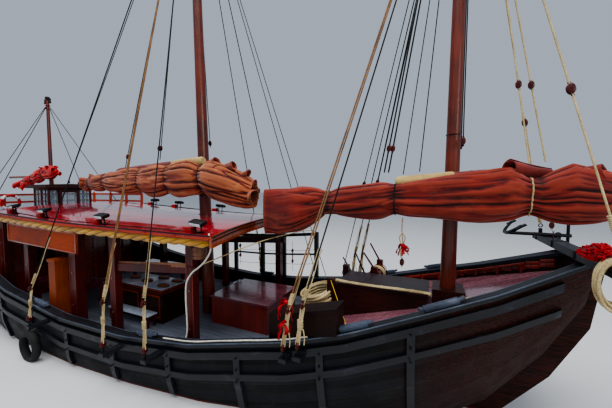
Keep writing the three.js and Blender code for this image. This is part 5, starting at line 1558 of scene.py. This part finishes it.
def makeHouseDoor():
    low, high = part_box("wheelhouse_door")
    x = (low.x + high.x) / 2
    middle, half = (low.y + high.y) / 2, (high.y - low.y) / 2
    mesh = bmesh.new()
    for y in (low.y + 0.04, high.y - 0.04):
        plate(mesh, (x, y), (0.019, 0.04), low.z, high.z, 0.004)
    for z, tall in ((low.z + 0.05, 0.1), (house["doorRail"], 0.09), (high.z - 0.05, 0.1)):
        plate(mesh, (x, middle), (0.017, half - 0.08), z - tall / 2, z + tall / 2, 0.004)
    plate(mesh, (x, middle), (0.01, half - 0.07), low.z + 0.09, house["doorRail"] - 0.03, 0.002)
    knob = Vector((x, low.y + 0.05, house["knob"]))
    drum(mesh, knob, knob + Vector((0.045, 0, 0)), 0.012, sides=12, material=1)
    addPiece("houseDoorFrame", mesh, ["darkPost", "bronze"], "wheelhouse_door_body", node="wheelhouse_door")
    mesh = bmesh.new()
    plate(mesh, (x, middle), (0.003, half - 0.07), house["doorRail"] + 0.03, high.z - 0.09, 0)
    addPiece("houseDoorPane", mesh, "paneGlass", "wheelhouse_door_body", node="wheelhouse_door")


makeWheelhouse()
makeHouseRoof()
makeHouseDoor()

cabin = {
    "sidePlaces": (-6.3, -5.5), "sideHalf": 0.26, "sideHeights": (2.39, 2.76),
    "frontSpans": [(-1.45, -0.85), (0.85, 1.45)], "frontHeights": (1.65, 2.3), "frame": 0.035,
    "doorRails": (0.6, 1.15), "strip": 0.04, "knob": 1.55,
}


def makeCabin():  # frames and glass in the cabin's small windows
    panes, trim = bmesh.new(), bmesh.new()
    for side in (-1, 1):
        low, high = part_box("cabin_side_starboard" if side < 0 else "cabin_side_port")
        y = low.y + 0.024 if side < 0 else high.y - 0.026
        for x in cabin["sidePlaces"]:
            plate(panes, (x, y), (cabin["sideHalf"], 0.004), *cabin["sideHeights"], 0)
    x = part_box("cabin_front")[1].x
    z0, z1 = cabin["frontHeights"]
    for y0, y1 in cabin["frontSpans"]:
        box(panes, (x - 0.035, y0, z0), (x - 0.027, y1, z1), 0)
        for z in (z0, z1):
            bar(trim, (x + 0.01, y0 - 0.03, z), (x + 0.01, y1 + 0.03, z), 0.04, cabin["frame"])
        for y in (y0, (y0 + y1) / 2, y1):
            bar(trim, (x + 0.01, y, z0), (x + 0.01, y, z1), cabin["frame"], cabin["frame"])
    addPiece("cabinGlass", panes, "glass")
    addPiece("cabinWindowFrames", trim, "varnish")


def makeCabinDoor():  # strips round three panels, and a knob
    low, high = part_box("cabin_door")
    x, y0, y1, strip = high.x, low.y + 0.08, high.y - 0.08, cabin["strip"]
    mesh = bmesh.new()
    rails = [low.z + 0.05, *(low.z + rise for rise in cabin["doorRails"]), high.z - 0.05]
    for z0, z1 in ((below + 0.05, above - 0.05) for below, above in zip(rails, rails[1:])):
        for a, b, c, d in ((y0, z0, y1, z0 + strip), (y0, z1 - strip, y1, z1), (y0, z0, y0 + strip, z1),
                           (y1 - strip, z0, y1, z1)):
            box(mesh, (x - 0.004, a, b), (x + 0.012, c, d), 0.003)
    y, z = low.y + 0.05, cabin["knob"]
    drum(mesh, (x, y, z), (x + 0.05, y, z), 0.014, sides=12, material=1)
    drum(mesh, (x + 0.045, y, z), (x + 0.07, y, z), 0.03, sides=18, bevel=0.006, material=1)
    addPiece("cabinDoorTrim", mesh, ["redCross", "bronze"], "cabin_door_body")


makeCabin()
makeCabinDoor()

sternRail = {"posts": (-4.96, -5.9, -6.85, -7.8, -8.76), "inset": 0.11, "bolts": (3.3, 3.62, 3.92)}
lifeRing = {"centre": (-8.66, -0.55, 3.62), "radius": 0.28, "wide": 0.055, "deep": 0.04, "bands": (32, 58)}


def makeSternRail():  # round caps on the posts and bolts where the rails cross
    mesh = bmesh.new()
    for side in (-1, 1):
        for x in sternRail["posts"]:
            y = side * (halfBeam(x) - sternRail["inset"])
            drum(mesh, (x, y, 3.955), (x, y, 3.98), 0.052, 0.046, 18, 0.006)
            ball = Matrix.Translation((x, y, 4.0))
            bmesh.ops.create_uvsphere(mesh, u_segments=14, v_segments=8, radius=0.036, matrix=ball)
            for z in sternRail["bolts"]:
                drum(mesh, (x, y + side * 0.038, z), (x, y + side * 0.052, z), 0.011, sides=8, material=1)
    addPiece("railCaps", mesh, ["rail", "steel"], smooth=40)


def makeLifeRing():  # on the after rail, plain white with four red bands
    mesh = bmesh.new()
    centre = Vector(lifeRing["centre"])
    turn = Matrix.Rotation(math.pi / 2, 3, "Y")

    def place(u, v):
        far = lifeRing["radius"] + lifeRing["wide"] * math.cos(v * math.tau)
        return centre + turn @ (around(u * math.tau, far) + lift(lifeRing["deep"] * math.sin(v * math.tau)))
    surface(mesh, 48, 14, place)
    first, last = lifeRing["bands"]
    for face in mesh.faces:
        spot = face.calc_center_median() - centre
        face.material_index = 1 if first < math.degrees(math.atan2(spot.z, spot.y)) % 90 < last else 0
    addPiece("lifeRing", mesh, ["redBox", "whitePaint"], smooth=60)


makeSternRail()
makeLifeRing()

transom = {
    "beams": [(2.62, 0.1, 0.99), (1.5, 0.12, 0.9), (0.75, 0.12, 0.72)],  # height, depth, share of the half beam
    "ribs": (-1.2, -0.55, 0.55, 1.2), "straps": (-1.2, -0.4, 0.15), "rings": (0.6, 1.6, 2.6),
}


def makeTransom():  # beams across the transom, and the rudder's straps
    mesh = bmesh.new()
    for z, tall, share in transom["beams"]:
        half = halfBeam(-8.8) * share
        for side in (-1, 1):
            bar(mesh, (-8.86, side * half, z), (-8.86, side * 0.2, z), tall, 0.08, 0.012)
    for y in transom["ribs"]:
        bar(mesh, (-8.84, y, 0.75), (-8.84, y, 2.62), 0.09, 0.05, 0.01)
    addPiece("transomBeams", mesh, "tarTimber")
    mesh = bmesh.new()
    for z in transom["straps"]:
        for y in (-0.051, 0.051):
            box(mesh, (-9.6, y - 0.007, z - 0.03), (-9.0, y + 0.007, z + 0.03), 0.003)
        for x in (-9.5, -9.3, -9.1):
            drum(mesh, (x, -0.066, z), (x, 0.066, z), 0.012, sides=8)
    for z in transom["rings"]:
        ring(mesh, (-9.06, 0, z), (0, 0, 1), 0.085, 0.012, 26, 6)
    addPiece("rudderStraps", mesh, "iron", "rudder_body")


makeTransom()
print("wheelhouse and stern dressed")

nameBoard = {
    "ends": (-3.87, -0.93), "inset": 0.053, "drop": 0.37, "low": -0.325, "high": 0.14, "straps": (0.22, 0.78),
}


def makeBoardFrame():  # a moulding round the blank name board, and the iron straps that hold it
    mesh = bmesh.new()
    inset, drop = nameBoard["inset"], nameBoard["drop"]
    ends = [Vector((x, inset - roofHalf(x), roofEdge(x) - drop)) for x in nameBoard["ends"]]
    low, high = lift(nameBoard["low"]), lift(nameBoard["high"])
    for rise in (low, high):
        bar(mesh, ends[0] + rise, ends[1] + rise, 0.02, 0.045, 0.005)
    for end in ends:
        bar(mesh, end + low, end + high, 0.02, 0.045, 0.005)
    for share in nameBoard["straps"]:
        spot = ends[0].lerp(ends[1], share) + Vector((0, 0.01, 0))
        bar(mesh, spot + lift(0.13), spot + lift(0.29), 0.012, 0.04, 0.002, 1)
        for z in (0.16, 0.24):
            drum(mesh, spot + Vector((0, -0.012, z)), spot + Vector((0, 0.004, z)), 0.01, sides=8, material=1)
    addPiece("boardFrame", mesh, ["varnish", "iron"])


makeBoardFrame()

# Hull fittings: bolts, chocks, pale cap edges of wear and painted highlight, and the tyre fender
fittings = {
    "posts": [-7.0, -5.4, -3.8, -2.3, -0.8, 0.7, 2.2, 3.7, 5.2, 6.6], "drops": (0.2, 0.42, 0.64), "lowest": 0.2,
    "chocks": [(5.72, 0.44), (7.02, 0.5), (-1.9, 0.4), (-6.2, 0.4), (1.6, 0.36)],  # x, length
    "edges": (-0.052, 0.152), "edgeRise": 0.072,
    "tyre": (-2.05, 0.34, 0.3, 0.085), "treads": 46,  # x, height, radius to the middle of the tube, tube radius
}


def makeBolts():
    mesh = bmesh.new()
    for side in (-1, 1):
        for x in fittings["posts"]:
            out = side * (halfBeam(x) + 0.055)
            for z in (sheer(x) - drop for drop in fittings["drops"]):
                if z > fittings["lowest"]:
                    drum(mesh, (x, out - side * 0.02, z), (x, out + side * 0.02, z), 0.02, 0.014, 8)
    addPiece("hullBolts", mesh, "iron", smooth=40)


def railSpot(x, side, inset, rise):  # a place over the cap rail
    return Vector((x, side * (halfBeam(x) - inset), sheer(x) + rise))


def makeCapRails():  # chocks, and pale strips along the top of the cap at its edges: wear and a painted highlight
    mesh = bmesh.new()
    for side in (-1, 1):
        for x, length in fittings["chocks"]:
            a, b = (railSpot(at, side, 0.05, 0.082) for at in (x - length / 2, x + length / 2))
            bar(mesh, a + lift(0.045), b + lift(0.045), 0.1, 0.09, 0.012)
            tip = (b - a).normalized() * 0.09
            for end, horn in ((a, -tip), (b, tip)):
                bar(mesh, end + lift(0.045) - horn * 0.3, end + lift(0.072) + horn, 0.07, 0.05, 0.012)
    addPiece("capChocks", mesh, "chock")
    mesh = bmesh.new()
    places = [-8.75 + 17.8 * step / 70 for step in range(71)]
    for side in (-1, 1):
        for inset in fittings["edges"]:
            sweep(mesh, [railSpot(x, side, inset, fittings["edgeRise"]) for x in places], rounded(0.016, 0.02))
    addPiece("capEdges", mesh, "chock")


lining = {
    "ribs": 11, "firstRib": 4.85, "ribGap": 0.36, "stringer": 4.7, "boards": 21, "firstBoard": 4.72,
    "step": 0.2,
}


def makeForeRibs():  # ribs, a stringer and lining boards inside the fore bulwarks
    mesh = bmesh.new()
    step = lining["step"]
    for side in (-1, 1):
        for rib in range(lining["ribs"]):
            x = lining["firstRib"] + rib * lining["ribGap"]
            y, foot = side * (halfBeam(x) - 0.15), lookUp(foreDeckLine, x, 1) + 0.012
            if sheer(x) - foot > 0.08:
                bar(mesh, (x, y, foot), (x, y, sheer(x) - 0.005), 0.07, 0.05, 0.008)
        sweep(mesh, [railSpot(lining["stringer"] + step * knot, side, 0.155, -0.04) for knot in range(20)],
              rounded(0.035, 0.05), 1)
        for index in range(lining["boards"]):
            a, b = (lining["firstBoard"] + step * end for end in (index, index + 1))
            foot = max(lookUp(foreDeckLine, a, 1), lookUp(foreDeckLine, b, 1)) + 0.01
            tall = sheer(a) - foot
            if tall > 0.06:
                for lane in (0.25, 0.75):  # one board above the other
                    start = Vector((a, side * (halfBeam(a) - 0.128), foot + tall * lane))
                    end = Vector((b, side * (halfBeam(b) - 0.128), start.z + (sheer(b) - sheer(a)) / 2))
                    bar(mesh, start, end, 0.024, tall / 2 - 0.008, 0.004, 1)
    addPiece("foreRibs", mesh, ["redCross", "redBoards"])


def makeTyre():
    x, z, radius, tube = fittings["tyre"]
    y = -(halfBeam(x) + 0.16)
    mesh = bmesh.new()

    def place(u, v):
        angle, turn = u * math.tau, v * math.tau
        lane = 2 if math.sin(turn) > 0 else 0
        tread = math.sin(angle * fittings["treads"] + lane) > 0 and math.cos(turn) > 0.2
        far = radius + tube * (0.95 if math.cos(turn) > 0 else 0.6) * math.cos(turn) * (1.05 if tread else 1)
        return Vector((x + math.cos(angle) * far, y + tube * 1.05 * math.sin(turn), z + math.sin(angle) * far))
    surface(mesh, 138, 18, place)
    addPiece("tyreFender", mesh, "rubber", smooth=60)
    rope = [(x, y + 0.02, z + radius - 0.01), (x, y, z + radius + 0.13), (x + 0.03, y + 0.02, z + 0.62),
            *(railSpot(x, -1, inset, rise) + Vector((along, 0, 0)) for inset, rise, along in (
                (-0.062, 0.03, 0.03), (0.02, 0.1, 0.03), (0.13, 0.09, 0.05)))]
    addRopes("tyreRope", [smoothPath(rope, 30)], 0.012, "darkRope", sides=8)


makeBolts()
makeCapRails()
makeForeRibs()
makeTyre()

bow = {
    "net": (8.96, -0.98, 3.25), "netSize": (0.2, 0.36, 0.17), "strands": 72, "seed": 21, "strandRadius": 0.011,
    "straps": (-1.3, -0.5, 0.45, 1.35), "endStraps": (-1.54, 1.54),
    "chain": (9.14, 1.0, 3.225), "link": (0.024, 0.008, 0.034), "chainEnd": 8.93,  # radius, thickness, step
}


def makeNet():  # the red netting heaped on the bow beam
    chance = random.Random(bow["seed"])
    centre = Vector(bow["net"])
    deep, wide, high = bow["netSize"]

    def heap(u, v):
        angle, rise = u * math.tau, v * math.pi / 2
        lump = 1 + 0.16 * wave(angle * 2 + v * 3, 12) + 0.1 * wave(angle * 5 + v * 6, 13)
        far = Vector((deep * math.cos(angle), wide * math.sin(angle), 0)) * math.cos(rise)
        return centre + far * lump + lift(high * math.sin(rise) * lump - 0.008)
    mesh = bmesh.new()
    surface(mesh, 48, 14, heap, closed=True, capped=True)
    # the heap is a solid of darker red under the strands: the net's colour with painted shade between its
    # meshes
    addPiece("netHeap", mesh, "netShade", smooth=70)
    strands = []
    for strand in range(bow["strands"]):
        angle, rise = chance.uniform(0, math.tau), chance.uniform(0.1, 1.4)
        turn = chance.uniform(0, math.tau)
        path = []
        for step in range(9):
            share = (step - 4) / 4
            a = angle + math.cos(turn) * share * chance.uniform(0.5, 0.8)
            b = min(1.5, max(0.03, rise + math.sin(turn) * share * 0.5))
            spot = heap(a / math.tau, b / (math.pi / 2))
            path.append(spot + (spot - centre).normalized() * (0.008 + 0.014 * math.sin(step * 2.4)))
        strands.append(smoothPath(path, 22))
    addRopes("netStrands", strands, bow["strandRadius"], "redTape")


def makeBowIron():  # straps on the beam, a ring, and the chain that falls on to the beam
    mesh = bmesh.new()
    for y in bow["straps"]:
        plate(mesh, (8.965, y), (0.12, 0.03), 3.115, 3.243, 0.004)
    for y in bow["endStraps"]:
        plate(mesh, (8.965, y + 0.001), (0.115, 0.013), 3.112, 3.24, 0.004)
    ring(mesh, (9.12, 1.0, 3.27), (0, 1, 0), 0.05, 0.012, 20, 8)
    addPiece("bowStraps", mesh, "iron", smooth=40)
    radius, thick, step = bow["link"]
    spot = Vector(bow["chain"])
    mesh = bmesh.new()
    for link in range(15):
        along = Vector((-0.35, -1, 0) if link > 2 else (-0.4, -1, -0.1)).normalized()
        ring(mesh, spot, lift(1) if link % 2 else along.cross(lift(1)), radius, thick, 12, 6)
        spot += along * step
        if spot.x < bow["chainEnd"]:
            break
    addPiece("anchorChain", mesh, "iron", smooth=60)


makeNet()
makeBowIron()

windlass = {
    "hoops": (0.06, 0.94), "hoop": (0.003, 0.009), "turns": 8, "from": 0.36, "wide": 0.2, "rope": 0.011,
    "board": ((4.66, 1.2, 1.405), (5.32, 1.2, 1.94)), "boardSize": (0.5, 0.045),
    "spikes": [((5.09, 1.1, 1.76), (4.70, 1.1, 2.37)), ((5.3, 1.12, 1.94), (5.02, 1.12, 2.54))],
    "spikeRadii": (0.024, 0.017),
}


def makeWindlass():  # hoops and rope turns on the barrel, and two handspikes on a sloped board beside it
    mesh = bmesh.new()
    low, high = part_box("windlass_barrel")
    middle = (low + high) / 2
    radius = (high.z - low.z) / 2
    for share in windlass["hoops"]:
        y = low.y + (high.y - low.y) * share
        ring(mesh, (middle.x, y, middle.z), (0, 1, 0), radius + windlass["hoop"][0], windlass["hoop"][1], 28, 6)
    addPiece("windlassHoops", mesh, "iron", "windlass_body", 40)
    turns, far = [], radius + windlass["rope"]
    for share in (step / 219 for step in range(220)):
        angle = share * math.tau * windlass["turns"]
        turns.append((middle.x + math.cos(angle) * far, low.y + windlass["from"] + windlass["wide"] * share,
                      middle.z + math.sin(angle) * far))
    addRopes("windlassTurns", [turns], windlass["rope"], "creamRope", "windlass_body")
    mesh = bmesh.new()
    bar(mesh, *windlass["board"], *windlass["boardSize"], 0.008)
    for foot, tip in windlass["spikes"]:
        drum(mesh, foot, tip, *windlass["spikeRadii"], 12, 0.004)
    addPiece("handspikes", mesh, "darkTimber", smooth=40)


makeWindlass()

mastFittings = {"bands": [("main", 1.15), ("main", 4.0), ("fore", 5.2)], "wedges": 10, "collar": 2.2}


def makeMastDetails():  # iron bands, and wedges round the fore mast at its collar
    mesh = bmesh.new()
    for name, z in mastFittings["bands"]:
        mastRing(mesh, name, z, 0.004, 0.012, 30, 6, 1)
    centre, radius = mastAt("fore", mastFittings["collar"])
    for wedge in range(mastFittings["wedges"]):
        spot = centre + around(wedge / mastFittings["wedges"] * math.tau) * (radius + 0.02)
        bar(mesh, spot - lift(0.03), spot + lift(0.06), 0.04, 0.03)
    addPiece("mastFittings", mesh, ["darkPost", "iron"], smooth=40)


makeMastDetails()

portRails = {
    "spans": [(0.18, 2.5), (1.41, 2.55), (2.31, 2.62), (3.55, 2.75)],  # x and height of each stanchion's head
    "drops": (0.5, 0.95), "sag": 0.03, "eyes": (0.5, 2.62), "heights": (2.35, 1.55), "wire": 0.006,
}


def makePortRails():  # wires and deadeyes between the port stanchions
    wires, mesh = [], bmesh.new()
    low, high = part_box("stanchion_frame_port")
    y = (low.y + high.y) / 2
    for (a, aHigh), (b, bHigh) in zip(portRails["spans"], portRails["spans"][1:]):
        for drop in portRails["drops"]:
            start, end = Vector((a + 0.03, y, aHigh - drop)), Vector((b - 0.03, y, bHigh - drop))
            wires.append([start.lerp(end, share) - lift(4 * portRails["sag"] * share * (1 - share))
                          for share in (step / 10 for step in range(11))])
    for x in portRails["eyes"]:
        top, bottom = (Vector((x, y, z)) for z in portRails["heights"])
        splitEyes(mesh, top.lerp(bottom, 0.28), top.lerp(bottom, 0.72))
        wires.append([top + lift(0.1), top.lerp(bottom, 0.28)])
        for shift in (Vector((across, 0, 0)) for across in (-0.014, 0, 0.014)):
            wires.append([top.lerp(bottom, 0.3) + shift, top.lerp(bottom, 0.7) + shift])
        wires.append([top.lerp(bottom, 0.72), bottom - lift(0.12)])
    addRopes("portRailWires", wires, portRails["wire"], "darkRope")
    addPiece("portRailEyes", mesh, ["darkPost", "iron"], smooth=40)


makePortRails()
print("hull, bow and masts fitted")


def makeFloor():  # the pale floor that the ship stands over
    mesh = bmesh.new()
    bmesh.ops.create_grid(mesh, x_segments=1, y_segments=1, size=view["floorSize"])
    data = bpy.data.meshes.new("waterFloor")
    mesh.to_mesh(data)
    mesh.free()
    floor = bpy.data.objects.new("waterFloor", data)
    paint = Paint("floorPaint")
    cloud = paint.noise(paint.where(), 0.05, 2)
    colour = paint.mix(cloud, view["floorTone"], tuple(min(1, value * 1.06) for value in view["floorTone"]))
    data.materials.append(paint.finish(colour, cloud * 0.1 + 0.65))
    bpy.context.collection.objects.link(floor)


makeFloor()
